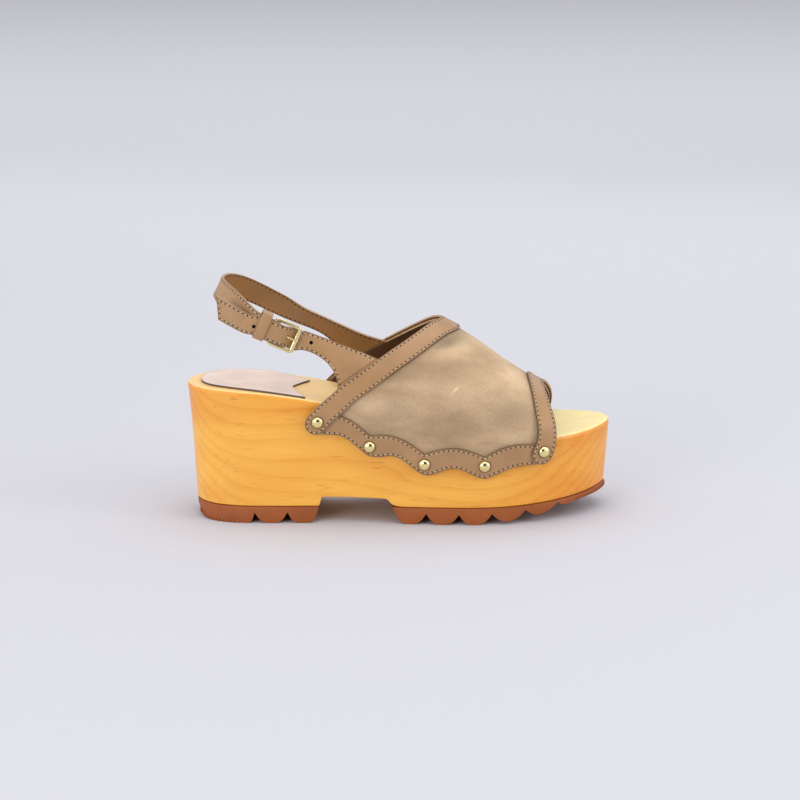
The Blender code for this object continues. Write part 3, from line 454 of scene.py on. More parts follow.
def brushed_suede(colours):
    """Split leather buffed to a nap: brushing leaves pale and dark patches and a soft sheen; a few listed
    marks add painted shade and painted top light.
    """
    made, tree, shader, place = new_material(
        "Brushed suede",
        Roughness=0.95,
        Specular_IOR_Level=0.12,
        Sheen_Weight=0.35,
        Sheen_Roughness=0.45,
        Sheen_Tint=linear("#E9DCC8"),
    )
    # Hand-wide brush marks lean forward and down across the foot.
    stroke = node(tree, "ShaderNodeMapping", {0: place, 2: (0.0, 0.6, 0.3), 3: (24.0, 34.0, 60.0)})
    brushed = node(tree, "ShaderNodeTexNoise", {"Vector": stroke.outputs[0], "Scale": 1.0, "Detail": 3.0})
    pale = node(tree, "ShaderNodeValToRGB", {0: brushed.outputs[0]}, [(0.46, grey(0.0)), (0.72, grey(0.85))])
    dark = node(tree, "ShaderNodeValToRGB", {0: brushed.outputs[0]}, [(0.26, grey(0.75)), (0.48, grey(0.0))])
    lit = node(
        tree,
        "ShaderNodeMix",
        {0: pale.outputs[0], 6: tuple(colours.suede), 7: tuple(colours.suede_pale)},
        data_type="RGBA",
    )
    patched = node(
        tree,
        "ShaderNodeMix",
        {0: dark.outputs[0], 6: lit.outputs[2], 7: tuple(colours.suede_dark)},
        data_type="RGBA",
    )
    # The nap is finer than a pixel, so its tufts are drawn 0.7 mm wide.
    nap = node(
        tree, "ShaderNodeTexNoise", {"Vector": place, "Scale": 1400.0, "Detail": 3.0, "Roughness": 0.7}
    )
    tuft = node(tree, "ShaderNodeMapRange", {0: nap.outputs[0], 1: 0.3, 2: 0.7, 3: 0.84, 4: 1.16})
    # The listed marks, a few of them painted shade and painted top light, make the nap paler or darker.
    marks = node(tree, "ShaderNodeAttribute", attribute_name="brushed").outputs["Fac"]
    frayed = node(tree, "ShaderNodeMapRange", {0: brushed.outputs[0], 1: 0.3, 2: 0.7, 3: 0.5, 4: 1.3})
    marks_with_painted_light = node(tree, "ShaderNodeMath", {0: marks, 1: frayed.outputs[0]}, operation="MULTIPLY")
    lie = node(
        tree, "ShaderNodeMath", {0: marks_with_painted_light.outputs[0], 1: 0.32, 2: tuft.outputs[0]}, operation="MULTIPLY_ADD"
    )
    colour = node(
        tree, "ShaderNodeVectorMath", {0: patched.outputs[2], 1: lie.outputs[0]}, operation="MULTIPLY"
    )
    tree.links.new(colour.outputs[0], shader.inputs["Base Color"])
    bump = node(tree, "ShaderNodeBump", {"Strength": 0.5, "Distance": 0.0003, "Height": nap.outputs[0]})
    tree.links.new(bump.outputs[0], shader.inputs["Normal"])
    return made


def grained_leather(name, colour, grain, roughness, depth, seam=0.0):
    """Full-grain leather, pressed and dyed: pores and fine pebbles, a little uneven in colour."""
    made, tree, shader, place = new_material(
        name, Roughness=roughness, Specular_IOR_Level=0.45, Coat_Weight=0.3, Coat_Roughness=0.32
    )
    pebbles = node(tree, "ShaderNodeTexVoronoi", {"Vector": place, "Scale": 1 / grain}, feature="SMOOTH_F1")
    fine = node(tree, "ShaderNodeTexNoise", {"Vector": place, "Scale": 2.2 / grain, "Detail": 3.0})
    height = node(tree, "ShaderNodeMath", {0: pebbles.outputs[0], 1: fine.outputs[0]}, operation="ADD")
    cloud = node(tree, "ShaderNodeTexNoise", {"Vector": place, "Scale": 70.0, "Detail": 3.0})
    shade = node(tree, "ShaderNodeMapRange", {0: cloud.outputs[0], 1: 0.3, 2: 0.7, 3: 0.9, 4: 1.08})
    # The leather darkens within about a millimetre of a cut edge, and thread pulls a shallow groove.
    nearness = node(tree, "ShaderNodeAttribute", attribute_name="edge_nearness").outputs["Fac"]
    darker_near_edge = node(tree, "ShaderNodeValToRGB", {0: nearness}, [(0.78, grey(1.0)), (0.96, grey(0.55))])
    tone_and_edge_darkening = node(tree, "ShaderNodeMath", {0: shade.outputs[0], 1: darker_near_edge.outputs[0]}, operation="MULTIPLY")
    dyed = node(
        tree, "ShaderNodeVectorMath", {0: tuple(colour)[:3], 1: tone_and_edge_darkening.outputs[0]}, operation="MULTIPLY"
    )
    tree.links.new(dyed.outputs[0], shader.inputs["Base Color"])
    bump = node(tree, "ShaderNodeBump", {"Strength": depth, "Distance": 0.00025, "Height": height.outputs[0]})
    if seam:
        line = 1 - seam / EDGE_REACH
        groove = node(
            tree,
            "ShaderNodeValToRGB",
            {0: nearness},
            [(line - 0.16, grey(1.0)), (line, grey(0.0)), (line + 0.16, grey(1.0))],
        )
        groove.color_ramp.interpolation = "EASE"
        bump = node(
            tree,
            "ShaderNodeBump",
            {"Strength": 0.8, "Distance": 0.0004, "Height": groove.outputs[0], "Normal": bump.outputs[0]},
        )
    tree.links.new(bump.outputs[0], shader.inputs["Normal"])
    return made


def painted_edge(name, colour):
    """The cut edge of leather under two coats of edge paint: dark, smooth and slightly glossy."""
    made, tree, shader, place = new_material(name, Roughness=0.5)
    fibre = node(tree, "ShaderNodeTexNoise", {"Vector": place, "Scale": 900.0, "Detail": 2.0})
    uneven(tree, shader, colour, fibre.outputs[0], 0.8, 1.2)
    bump = node(tree, "ShaderNodeBump", {"Strength": 0.3, "Distance": 0.0001, "Height": fibre.outputs[0]})
    tree.links.new(bump.outputs[0], shader.inputs["Normal"])
    return made


def polished_metal(name, colour, roughness):
    """Brass or gold-plated zinc, tumbled to a polish: clear reflections with faint handling marks."""
    made, tree, shader, place = new_material(name, Metallic=1.0, Base_Color=tuple(colour))
    marks = node(tree, "ShaderNodeTexNoise", {"Vector": place, "Scale": 350.0, "Detail": 2.0})
    rough = node(
        tree, "ShaderNodeMapRange", {0: marks.outputs[0], 3: 0.8 * roughness, 4: 1.2 * roughness}
    )
    tree.links.new(rough.outputs[0], shader.inputs["Roughness"])
    return made


def waxed_thread(name, colour):
    """Waxed linen thread: a twist of plies, drawn 0.4 mm apart."""
    made, tree, shader, place = new_material(name, Roughness=0.6, Sheen_Weight=0.1)
    plies = node(tree, "ShaderNodeTexNoise", {"Vector": place, "Scale": 2500.0, "Detail": 2.0})
    uneven(tree, shader, colour, plies.outputs[0], 0.75, 1.1)
    return made


def dark_hole(colours):
    """Leather inside a needle hole, in its own shadow."""
    made, tree, shader, place = new_material("Shadowed needle hole", Roughness=1.0, Specular_IOR_Level=0.0)
    fibre = node(tree, "ShaderNodeTexNoise", {"Vector": place, "Scale": 900.0})
    uneven(tree, shader, colours.hole, fibre.outputs[0], 0.7, 1.3, (0.0, 1.0))
    return made


def backdrop_paper(colour):
    """Matt studio paper with a faint tooth."""
    made, tree, shader, place = new_material("Backdrop paper", Roughness=0.9, Specular_IOR_Level=0.1)
    tooth = node(tree, "ShaderNodeTexNoise", {"Vector": place, "Scale": 300.0})
    uneven(tree, shader, colour, tooth.outputs[0], 0.99, 1.01, (0.0, 1.0))
    return made


def finishes(context):
    """Each finish of the shoe, made once and then found by its part."""
    if "finishes" in STORE:
        return STORE["finishes"]
    sizes, colours = context.scene.sandal_sizes, context.scene.sandal_colours
    grain, seam = sizes.grain_width, sizes.stitch_margin
    STORE["finishes"] = {
        "wood": honey_varnished_pine(sizes, colours),
        "rubber": moulded_rubber(colours),
        "suede": brushed_suede(colours),
        "leather": grained_leather("Smooth taupe calf", colours.leather, grain, 0.42, 0.16, seam),
        "lining": grained_leather("Brown lining leather", colours.lining, 1.1 * grain, 0.5, 0.9),
        "vamp_lining": grained_leather("Dark lining leather", colours.vamp_lining, 1.3 * grain, 0.6, 0.4),
        "edge": painted_edge("Brown edge paint", colours.edge),
        "strap_edge": painted_edge("Taupe edge paint", colours.strap_edge),
        "sock": grained_leather("Nude sock leather", colours.sock, 0.8 * grain, 0.55, 0.12),
        "sock_edge": painted_edge("Dark sock edge", colours.sock_edge),
        "brass": polished_metal("Polished brass", colours.brass, 0.14),
        "gold": polished_metal("Light gold plating", colours.gold, 0.18),
        "thread": waxed_thread("Waxed cream thread", colours.thread),
        "lining_thread": waxed_thread("Waxed brown thread", colours.lining),
        "hole": dark_hole(colours),
    }
    return STORE["finishes"]


# Shapes


def welded_copy(node_name):
    """A solid's triangles with their corners joined up."""
    shape = bmesh.new()
    shape.from_mesh(frame["nodes"][node_name].data)
    bmesh.ops.remove_doubles(shape, verts=shape.verts, dist=WELD)
    return shape


def creased_quads(node_name, is_sharp):
    """A solid's welded copy as quads, with its sharp edges creased."""
    shape = welded_copy(node_name)
    crease = shape.edges.layers.float.new("crease_edge")
    for edge in shape.edges:
        if is_sharp(edge):
            edge.smooth = False
            edge[crease] = 1.0
    bmesh.ops.join_triangles(
        shape,
        faces=shape.faces,
        cmp_sharp=True,
        angle_face_threshold=math.radians(60),
        angle_shape_threshold=math.pi,
        topology_influence=2.0,
    )
    return shape


def cut_edge(edge):
    """An edge where a piece was cut or moulded sharp."""
    return edge.calc_face_angle() > math.radians(50)


def ring_edge(edge):
    """An edge round the wood's outline or its arch notch."""
    turn = edge.calc_face_angle()
    run = edge.verts[1].co - edge.verts[0].co
    return turn > math.radians(45) or (turn > math.radians(15) and abs(run.z) < 0.6 * run.length)


def away_from_last(point):
    return Vector((0.0, point.y - LAST_AXIS_Y, point.z - LAST_AXIS_Z))


def away_from_heel(point):
    return Vector((point.x - HEEL_AXIS.x, point.y - HEEL_AXIS.y, 0.0))


def upward(_point):
    return Vector((0.0, 0.0, 1.0))


def paint_sides(shape, outward):
    """Marks a sheet's two broad faces and the cut edge between them by material number."""
    regions = []
    left = set(shape.faces)
    while left:
        todo = [left.pop()]
        region = []
        while todo:
            face = todo.pop()
            region.append(face)
            for edge in face.edges:
                for other in edge.link_faces:
                    if edge.smooth and other in left:
                        left.remove(other)
                        todo.append(other)
        regions.append(region)
    regions.sort(key=lambda faces: sum(face.calc_area() for face in faces), reverse=True)
    broad = regions[:2]

    def outwardness(faces):
        return sum(face.normal.dot(outward(face.calc_center_median())) * face.calc_area() for face in faces)

    broad.sort(key=outwardness, reverse=True)
    for face in shape.faces:
        face.material_index = RIM
    for number, faces in ((OUTSIDE, broad[0]), (INSIDE, broad[1])):
        for face in faces:
            face.material_index = number


def new_piece(name, shape, materials):
    """An object made of a shape, with its materials in order."""
    mesh = bpy.data.meshes.new(name)
    shape.to_mesh(mesh)
    shape.free()
    for material in materials:
        mesh.materials.append(material)
    piece = bpy.data.objects.new(name, mesh)
    bpy.context.scene.collection.objects.link(piece)
    return piece


def smooth_piece(piece, levels, rounding, segments=2, angle=35.0):
    """Splits the faces and rounds the creased edges."""
    split = piece.modifiers.new("Smooth", "SUBSURF")
    split.levels = split.render_levels = levels
    edges = piece.modifiers.new("Rounded edges", "BEVEL")
    edges.width = rounding
    edges.segments = segments
    edges.limit_method = "ANGLE"
    edges.angle_limit = math.radians(angle)


def settle(piece, slot, *replaced):
    """Turns the piece's modifiers into plain mesh and ties it to the frame."""
    bpy.context.view_layer.update()
    graph = bpy.context.evaluated_depsgraph_get()
    mesh = bpy.data.meshes.new_from_object(
        piece.evaluated_get(graph), preserve_all_data_layers=True, depsgraph=graph
    )
    piece.modifiers.clear()
    piece.data = mesh
    mesh.shade_smooth()
    mesh.set_sharp_from_angle(angle=math.radians(40))
    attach(piece, BODY)
    if replaced:
        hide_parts(*replaced)
    STORE[piece.name] = piece


def dress(context, node_name, piece_name, finish, slot, levels, rounding, is_sharp=cut_edge, **bevel):
    """Makes a piece of one finish from its solid, smoothed and with rounded edges."""
    shape = creased_quads(node_name, is_sharp)
    piece = new_piece(piece_name, shape, [finishes(context)[finish]])
    smooth_piece(piece, levels, rounding, **bevel)
    settle(piece, slot, node_name)


def mark_edges(piece):
    """Stores how near each point lies to a cut edge: 1 at the edge, 0 from EDGE_REACH inwards."""
    mesh = piece.data
    rim = {k for face in mesh.polygons if face.material_index == RIM for k in face.vertices}
    near = nearest_of([mesh.vertices[k].co for k in rim])
    stored = mesh.attributes.new("edge_nearness", "FLOAT", "POINT")
    for vertex, value in zip(mesh.vertices, stored.data):
        value.value = max(0.0, 1 - near.find(vertex.co)[2] / EDGE_REACH)


def spot_strength(place, spots):
    """Soft spots added up at a place: each has a middle and half sizes in X and Z, a slant and a strength."""
    total = 0.0
    for x, z, half_x, half_z, slant, strength in spots:
        across, up = place.x / MM - x, place.z / MM - z
        turn = math.radians(slant)
        along = (across * math.cos(turn) + up * math.sin(turn)) / half_x
        aside = (up * math.cos(turn) - across * math.sin(turn)) / half_z
        total += strength * math.exp(-(along**2) - aside**2)
    return total


def mark_brushing_and_painted_light(piece):
    """Stores how the suede is brushed at each point, with the painted shade and painted top light of some
    marks.
    """
    stored = piece.data.attributes.new("brushed", "FLOAT", "POINT")
    for vertex, value in zip(piece.data.vertices, stored.data):
        value.value = spot_strength(vertex.co, BRUSH_MARKS_AND_PAINTED_LIGHT)


def press_creases(piece):
    """Presses the creases into the outer face of the lateral side. The leather swells beside each trough."""
    mesh = piece.data
    outer = {k for face in mesh.polygons if face.material_index == OUTSIDE for k in face.vertices}
    swells = [
        (x, z, long, SWELL_WIDTH * wide, slant, -SWELL_HEIGHT * depth)
        for x, z, long, wide, slant, depth in CREASES
    ]
    moved = []
    for vertex in mesh.vertices:
        place = vertex.co.copy()
        if vertex.index in outer and place.y < LAST_AXIS_Y:
            place -= vertex.normal * spot_strength(place, (*CREASES, *swells)) * MM
        moved.extend(place)
    mesh.vertices.foreach_set("co", moved)
    mesh.update()


def leather_piece(context, node_name, piece_name, outward, materials, slot, punched=()):
    """A sheet of leather: its solid smoothed, its edges rounded, and each side given its own finish."""
    sizes = context.scene.sandal_sizes
    shape = creased_quads(node_name, cut_edge)
    paint_sides(shape, outward)
    piece = new_piece(piece_name, shape, materials)
    smooth_piece(piece, sizes.smoothing, sizes.edge_round)
    if punched:
        cutter = punch(piece, punched, sizes.strap_hole, finishes(context)["hole"])
        settle(piece, slot, node_name)
        bpy.data.objects.remove(cutter, do_unlink=True)
    else:
        settle(piece, slot, node_name)
    mark_edges(piece)
    return piece


# Seams


def rim_loops(sheet):
    """The closed lines round an open sheet, as lists of vertices, longest way round first."""
    ahead = {}
    for edge in sheet.edges:
        if edge.is_boundary:
            loop = edge.link_loops[0]
            ahead[loop.vert] = loop.link_loop_next.vert
    loops = []
    while ahead:
        start = next(iter(ahead))
        line = [start]
        after = ahead.pop(start)
        while after in ahead:
            line.append(after)
            after = ahead.pop(after)
        loops.append(line)

    def length(line):
        return sum((line[k].co - line[k - 1].co).length for k in range(len(line)))

    return sorted(loops, key=length, reverse=True)


def even_points(line, spacing):
    """Points evenly spaced along a closed line."""
    lengths = [(line[(k + 1) % len(line)] - line[k]).length for k in range(len(line))]
    count = round(sum(lengths) / spacing)
    step = sum(lengths) / count
    points, k, walked = [], 0, 0.0
    for number in range(count):
        while walked + lengths[k] < number * step:
            walked += lengths[k]
            k += 1
        share = (number * step - walked) / lengths[k]
        points.append(line[k].lerp(line[(k + 1) % len(line)], share))
    return points


def nearest_of(points):
    """A tree that finds the nearest of some points."""
    tree = KDTree(len(points))
    for number, point in enumerate(points):
        tree.insert(point, number)
    tree.balance()
    return tree


def seam_runs(piece, margin, covers=(), joined=(), side=OUTSIDE):
    """Lines inside the rim of one side of a piece, broken where a piece covers them or is joined on."""
    sheet = bmesh.new()
    sheet.from_mesh(piece.data)
    hidden = [face for face in sheet.faces if face.material_index != side]
    bmesh.ops.delete(sheet, geom=hidden, context="FACES")
    surface = BVHTree.FromBMesh(sheet)
    graph = bpy.context.evaluated_depsgraph_get()
    above = [BVHTree.FromObject(cover, graph) for cover in (*covers, *joined)]
    beside = above[len(covers) :]
    line = even_points([vertex.co.copy() for vertex in rim_loops(sheet)[0]], SEAM_STEP)
    near = nearest_of([vertex.co for vertex in sheet.verts if vertex.is_boundary])
    inner = []
    for k, point in enumerate(line):
        normal = surface.find_nearest(point)[1]
        inward = normal.cross(line[(k + 1) % len(line)] - line[k - 1]).normalized()
        place = surface.find_nearest(point + inward * margin)[0]
        # In a narrow corner the point may land close to another edge, and the seam cuts that corner.
        if near.find(place)[2] > 0.8 * margin:
            inner.append(place)
    for _ in range(2):
        inner = [
            0.25 * before + 0.5 * point + 0.25 * after
            for before, point, after in zip([inner[-1], *inner], inner, [*inner[1:], inner[0]])
        ]
    runs, run = [], []
    for point in inner:
        place, lift, _, _ = surface.find_nearest(point)
        start = place + lift * COVER_START
        covered = any(tree.ray_cast(start, lift, COVER_REACH)[0] for tree in above)
        if covered or any(tree.find_nearest(place, JOIN_REACH)[0] for tree in beside):
            runs.append(run)
            run = []
        else:
            run.append((place, lift))
    if runs:
        runs[0] = run + runs[0]
    else:
        runs = [[*run, run[0]]]
    sheet.free()
    return [run for run in runs if len(run) >= SHORTEST_RUN]


def new_tree(name, takes, sizes, gives):
    """A Geometry Nodes tree that takes a shape and some sizes and gives a shape."""
    tree = bpy.data.node_groups.new(name, "GeometryNodeTree")
    tree.interface.new_socket(takes, in_out="INPUT", socket_type="NodeSocketGeometry")
    for size in sizes:
        tree.interface.new_socket(size, in_out="INPUT", socket_type="NodeSocketFloat")
    tree.interface.new_socket(gives, in_out="OUTPUT", socket_type="NodeSocketGeometry")
    return tree, node(tree, "NodeGroupInput").outputs


def end_tree(tree, *parts):
    """Makes the instances of each part real, gives them their finish, and joins the parts."""
    joined = node(tree, "GeometryNodeJoinGeometry")
    for made, finish in parts:
        real = node(tree, "GeometryNodeRealizeInstances", {0: made.outputs[0]})
        end = node(tree, "GeometryNodeSetMaterial", {"Geometry": real.outputs[0], "Material": finish})
        tree.links.new(end.outputs[0], joined.inputs[0])
    node(tree, "NodeGroupOutput", {0: joined.outputs[0]})
    return tree


def stitch_tree(thread, hole):
    """Geometry Nodes that sew a line: a thread over the leather, then a needle hole, and so on."""
    tree, given = new_tree("Saddle stitches", "Line", ("Pitch", "Thread width", "Hole width"), "Stitches")
    line = node(tree, "GeometryNodeMeshToCurve", {0: given["Line"]})
    spots = node(
        tree, "GeometryNodeCurveToPoints", {"Curve": line.outputs[0], "Length": given["Pitch"]}, mode="LENGTH"
    )
    lift = node(tree, "GeometryNodeInputNamedAttribute", {"Name": "lift"}, data_type="FLOAT_VECTOR")
    upright = node(tree, "FunctionNodeAlignRotationToVector", {"Vector": lift.outputs[0]}, axis="Z")
    turned = node(
        tree,
        "FunctionNodeAlignRotationToVector",
        {"Rotation": upright.outputs[0], "Vector": spots.outputs["Tangent"]},
        axis="X",
        pivot_axis="Z",
    )
    bead = node(tree, "GeometryNodeMeshUVSphere", {"Segments": 8, "Rings": 6, "Radius": 0.5})
    long_way = node(tree, "ShaderNodeMath", {0: given["Pitch"], 1: 0.72}, operation="MULTIPLY")
    thin_way = node(tree, "ShaderNodeMath", {0: given["Thread width"], 1: 0.9}, operation="MULTIPLY")
    spread = node(
        tree,
        "ShaderNodeCombineXYZ",
        {0: long_way.outputs[0], 1: given["Thread width"], 2: thin_way.outputs[0]},
    )
    threads = node(
        tree,
        "GeometryNodeInstanceOnPoints",
        {
            "Points": spots.outputs["Points"],
            "Instance": bead.outputs[0],
            "Rotation": turned.outputs[0],
            "Scale": spread.outputs[0],
        },
    )
    half = node(tree, "ShaderNodeMath", {0: given["Pitch"], 1: 0.5}, operation="MULTIPLY")
    step = node(
        tree,
        "ShaderNodeVectorMath",
        {0: spots.outputs["Tangent"], "Scale": half.outputs[0]},
        operation="SCALE",
    )
    between = node(
        tree, "GeometryNodeSetPosition", {"Geometry": spots.outputs["Points"], "Offset": step.outputs[0]}
    )
    radius = node(tree, "ShaderNodeMath", {0: given["Hole width"], 1: 0.5}, operation="MULTIPLY")
    prick = node(
        tree, "GeometryNodeMeshCylinder", {"Vertices": 10, "Radius": radius.outputs[0], "Depth": 0.16 * MM}
    )
    holes = node(
        tree,
        "GeometryNodeInstanceOnPoints",
        {"Points": between.outputs[0], "Instance": prick.outputs["Mesh"], "Rotation": turned.outputs[0]},
    )
    return end_tree(tree, (holes, hole), (threads, thread))


def set_input(modifier, name, value):
    """Sets a Geometry Nodes input by its socket's identifier."""
    for socket in modifier.node_group.interface.items_tree:
        if socket.item_type == "SOCKET" and socket.in_out == "INPUT" and socket.name == name:
            modifier[socket.identifier] = value


def line_piece(name, runs):
    """Lines of points as a mesh that carries, as "lift", the way that each point faces."""
    points, lifts, edges = [], [], []
    for run in runs:
        first = len(points)
        points += [place for place, _ in run]
        lifts += [lift for _, lift in run]
        edges += [(first + k, first + k + 1) for k in range(len(run) - 1)]
    mesh = bpy.data.meshes.new(name)
    mesh.from_pydata(points, edges, [])
    stored = mesh.attributes.new("lift", "FLOAT_VECTOR", "POINT")
    for value, lift in zip(stored.data, lifts):
        value.vector = lift
    piece = bpy.data.objects.new(name, mesh)
    bpy.context.scene.collection.objects.link(piece)
    return piece


def sew(context, name, runs, thread="thread"):
    """Lays stitches along lines on the leather."""
    sizes, finish = context.scene.sandal_sizes, finishes(context)
    tree = f"{thread} stitches"
    if tree not in STORE:
        STORE[tree] = stitch_tree(finish[thread], finish["hole"])
    piece = line_piece(name, runs)
    stitches = piece.modifiers.new("Stitches", "NODES")
    stitches.node_group = STORE[tree]
    set_input(stitches, "Pitch", sizes.stitch_pitch)
    set_input(stitches, "Thread width", sizes.thread_width)
    set_input(stitches, "Hole width", sizes.hole_width)
    settle(piece, "leather")


# Operators, one for each piece or group of like pieces


class SANDAL_OT_wood_sole(bpy.types.Operator):
    """Makes the varnished wooden sole."""

    bl_idname = "sandal.wood_sole"
    bl_label = "Wooden sole"

    def execute(self, context):
        sizes = context.scene.sandal_sizes
        dress(
            context,
            "wood_sole",
            "wood_platform",
            "wood",
            "wood",
            sizes.smoothing,
            sizes.wood_round,
            is_sharp=ring_edge,
            segments=3,
            angle=18.0,
        )
        return {"FINISHED"}


def lug_rim(name, start, middle):
    """The lower rim of an end lug, in order round its middle, with the way that each point faces."""
    toward_end = math.copysign(1.0, start)
    shape = welded_copy(name)
    found = []
    for edge in shape.edges:
        if len(edge.link_faces) != 2:
            continue
        # A rim edge lies between a face that looks down and one that stands upright.
        low, side = sorted(edge.link_faces, key=lambda face: face.normal.z)
        if low.normal.z > -0.7 or abs(side.normal.z) > 0.6:
            continue
        for vertex in edge.verts:
            out = Vector((vertex.co.x - middle[0], vertex.co.y - middle[1], 0.0))
            at_end = toward_end * (vertex.co.x - start) > 0
            if at_end and side.normal.dot(out) > 0.6 * out.length:
                found.append((math.atan2(out.y, out.x) % math.tau, vertex.co.copy(), side.normal.copy()))
    shape.free()
    # The count of turns starts on the side away from the lug, so that no rim crosses it.
    half_turn = 0.0 if toward_end < 0 else math.pi
    ordered = {}
    for turn, place, out in sorted(found, key=lambda row: (row[0] + half_turn) % math.tau):
        ordered.setdefault(round(turn, 3), (place + RIB_LIFT, out))
    return list(ordered.values())


def tread_tree(rubber):
    """Geometry Nodes that set fine ribs along the rim of a lug."""
    tree, given = new_tree("Fine tread", "Rim", ("Pitch",), "Ribs")
    rim = node(tree, "GeometryNodeMeshToCurve", {0: given["Rim"]})
    spots = node(
        tree, "GeometryNodeCurveToPoints", {"Curve": rim.outputs[0], "Length": given["Pitch"]}, mode="LENGTH"
    )
    lift = node(tree, "GeometryNodeInputNamedAttribute", {"Name": "lift"}, data_type="FLOAT_VECTOR")
    outward = node(tree, "FunctionNodeAlignRotationToVector", {"Vector": lift.outputs[0]}, axis="X")
    bead = node(tree, "GeometryNodeMeshUVSphere", {"Segments": 12, "Rings": 8, "Radius": 0.5})
    ribs = node(
        tree,
        "GeometryNodeInstanceOnPoints",
        {
            "Points": spots.outputs["Points"],
            "Instance": bead.outputs[0],
            "Rotation": outward.outputs[0],
            "Scale": RIB_SIZE,
        },
    )
    return end_tree(tree, (ribs, rubber))


class SANDAL_OT_outsoles(bpy.types.Operator):
    """Makes the two lugged rubber outsoles."""

    bl_idname = "sandal.outsoles"
    bl_label = "Rubber outsoles"

    def execute(self, context):
        for name in RIBBED:
            dress(context, name, name.replace("outsole", "tread"), "rubber", "rubber", 1, TREAD_ROUND)
        ribs = line_piece("tread_ribs", [lug_rim(name, *place) for name, place in RIBBED.items()])
        treads = ribs.modifiers.new("Ribs", "NODES")
        treads.node_group = tread_tree(finishes(context)["rubber"])
        set_input(treads, "Pitch", context.scene.sandal_sizes.tread_pitch)
        settle(ribs, "rubber")
        return {"FINISHED"}


class SANDAL_OT_sock_pad(bpy.types.Operator):
    """Makes the sock pad on the heel of the footbed."""

    bl_idname = "sandal.sock_pad"
    bl_label = "Sock pad"

    def execute(self, context):
        finish = finishes(context)
        sides = [finish["sock"], finish["sock_edge"], finish["sock"]]
        leather_piece(context, "sock_pad", "heel_sock", upward, sides, "sock")
        return {"FINISHED"}


class SANDAL_OT_vamp(bpy.types.Operator):
    """Makes the lined suede vamp."""

    bl_idname = "sandal.vamp"
    bl_label = "Suede vamp"

    def execute(self, context):
        finish = finishes(context)
        sides = [finish["suede"], finish["strap_edge"], finish["vamp_lining"]]
        vamp = leather_piece(context, "vamp", "suede_vamp", away_from_last, sides, "suede")
        mark_brushing_and_painted_light(vamp)
        press_creases(vamp)
        return {"FINISHED"}


class SANDAL_OT_bands(bpy.types.Operator):
    """Makes the leather bands of the collar, the toe and the two sides."""

    bl_idname = "sandal.bands"
    bl_label = "Leather bands"

    def execute(self, context):
        finish = finishes(context)
        sides = [finish["leather"], finish["strap_edge"], finish["lining"], finish["edge"]]
        for name, to_suede in BANDS.items():
            band = leather_piece(context, name, name + "_leather", away_from_last, sides, "leather")
            # Rim faces toward the suede are painted dark: edge paint, and painted shade in the gap beside the
            # suede.
            for face in band.data.polygons:
                if face.material_index == RIM and face.normal.dot(to_suede) > 0.2:
                    face.material_index = DARK_EDGE_AND_SHADE
        return {"FINISHED"}


def punch(piece, places, width, finish):
    """Bores blind holes in a strap, at places given by x and z, straight into its outer face."""
    surface = BVHTree.FromObject(piece, bpy.context.evaluated_depsgraph_get())
    shape = bmesh.new()
    for x, z in places:
        spot, out, _, _ = surface.ray_cast(Vector((x, -0.1, z)), Vector((0.0, 1.0, 0.0)))
        turn = out.to_track_quat("Z", "Y").to_matrix().to_4x4()
        turn.translation = spot
        radius = width / 2
        bmesh.ops.create_cone(
            shape, cap_ends=True, segments=20, radius1=radius, radius2=radius, depth=PUNCH_DEPTH, matrix=turn
        )
    cutter = new_piece("punch", shape, [finish])
    cut = piece.modifiers.new("Punched holes", "BOOLEAN")
    cut.object = cutter
    cut.solver = "EXACT"
    cut.material_mode = "TRANSFER"
    return cutter


class SANDAL_OT_straps(bpy.types.Operator):
    """Makes the two wings with the heel strap, and the keeper."""

    bl_idname = "sandal.straps"
    bl_label = "Heel strap"

    def execute(self, context):
        finish = finishes(context)
        sides = [finish["leather"], finish["strap_edge"], finish["lining"]]
        strap = leather_piece(
            context, "lateral_strap", "buckled_strap", away_from_heel, sides, "leather", PUNCHED
        )
        press_creases(strap)
        leather_piece(context, "sling_strap", "heel_strap", away_from_heel, sides, "leather")
        dress(context, "keeper_loop", "keeper", "leather", "leather", 2, KEEPER_ROUND)
        return {"FINISHED"}


class SANDAL_OT_stitches(bpy.types.Operator):
    """Sews each band and strap along its edges."""

    bl_idname = "sandal.stitches"
    bl_label = "Stitches"

    def execute(self, context):
        margin = context.scene.sandal_sizes.stitch_margin
        collar, toe, strap = STORE["collar_band_leather"], STORE["toe_band_leather"], STORE["buckled_strap"]
        keeper = STORE["keeper"]
        # Each sewn piece, with the pieces that lie over it and those that it is joined to
        seams = {
            "collar_band_leather": ([], []),
            "toe_band_leather": ([], []),
            "side_band_lateral_leather": ([collar, toe], []),
            "side_band_medial_leather": ([collar, toe], []),
            "buckled_strap": ([keeper], [collar]),
            "heel_strap": ([strap, keeper], [collar]),
        }
        for name, (above, joined) in seams.items():
            runs = seam_runs(STORE[name], margin, above, joined)
            sew(context, name.replace("_leather", "") + "_stitches", runs)
        inner = seam_runs(STORE["heel_strap"], 0.8 * margin, [], [STORE["suede_vamp"]], INSIDE)
        sew(context, "heel_strap_inner_stitches", inner, "lining_thread")
        return {"FINISHED"}


class SANDAL_OT_buckle(bpy.types.Operator):
    """Makes the buckle's frame and prong."""

    bl_idname = "sandal.buckle"
    bl_label = "Buckle"

    def execute(self, context):
        shape = welded_copy("buckle_frame")
        bmesh.ops.dissolve_limit(shape, angle_limit=math.radians(2), verts=shape.verts, edges=shape.edges)
        piece = new_piece("buckle_frame_plated", shape, [finishes(context)["gold"]])
        rounded = piece.modifiers.new("Rounded edges", "BEVEL")
        rounded.width = FRAME_ROUND
        rounded.segments = 3
        rounded.limit_method = "ANGLE"
        rounded.angle_limit = math.radians(25)
        settle(piece, "brass", "buckle_frame")
        dress(context, "buckle_prong", "buckle_prong_plated", "gold", "brass", 2, PRONG_ROUND)
        return {"FINISHED"}


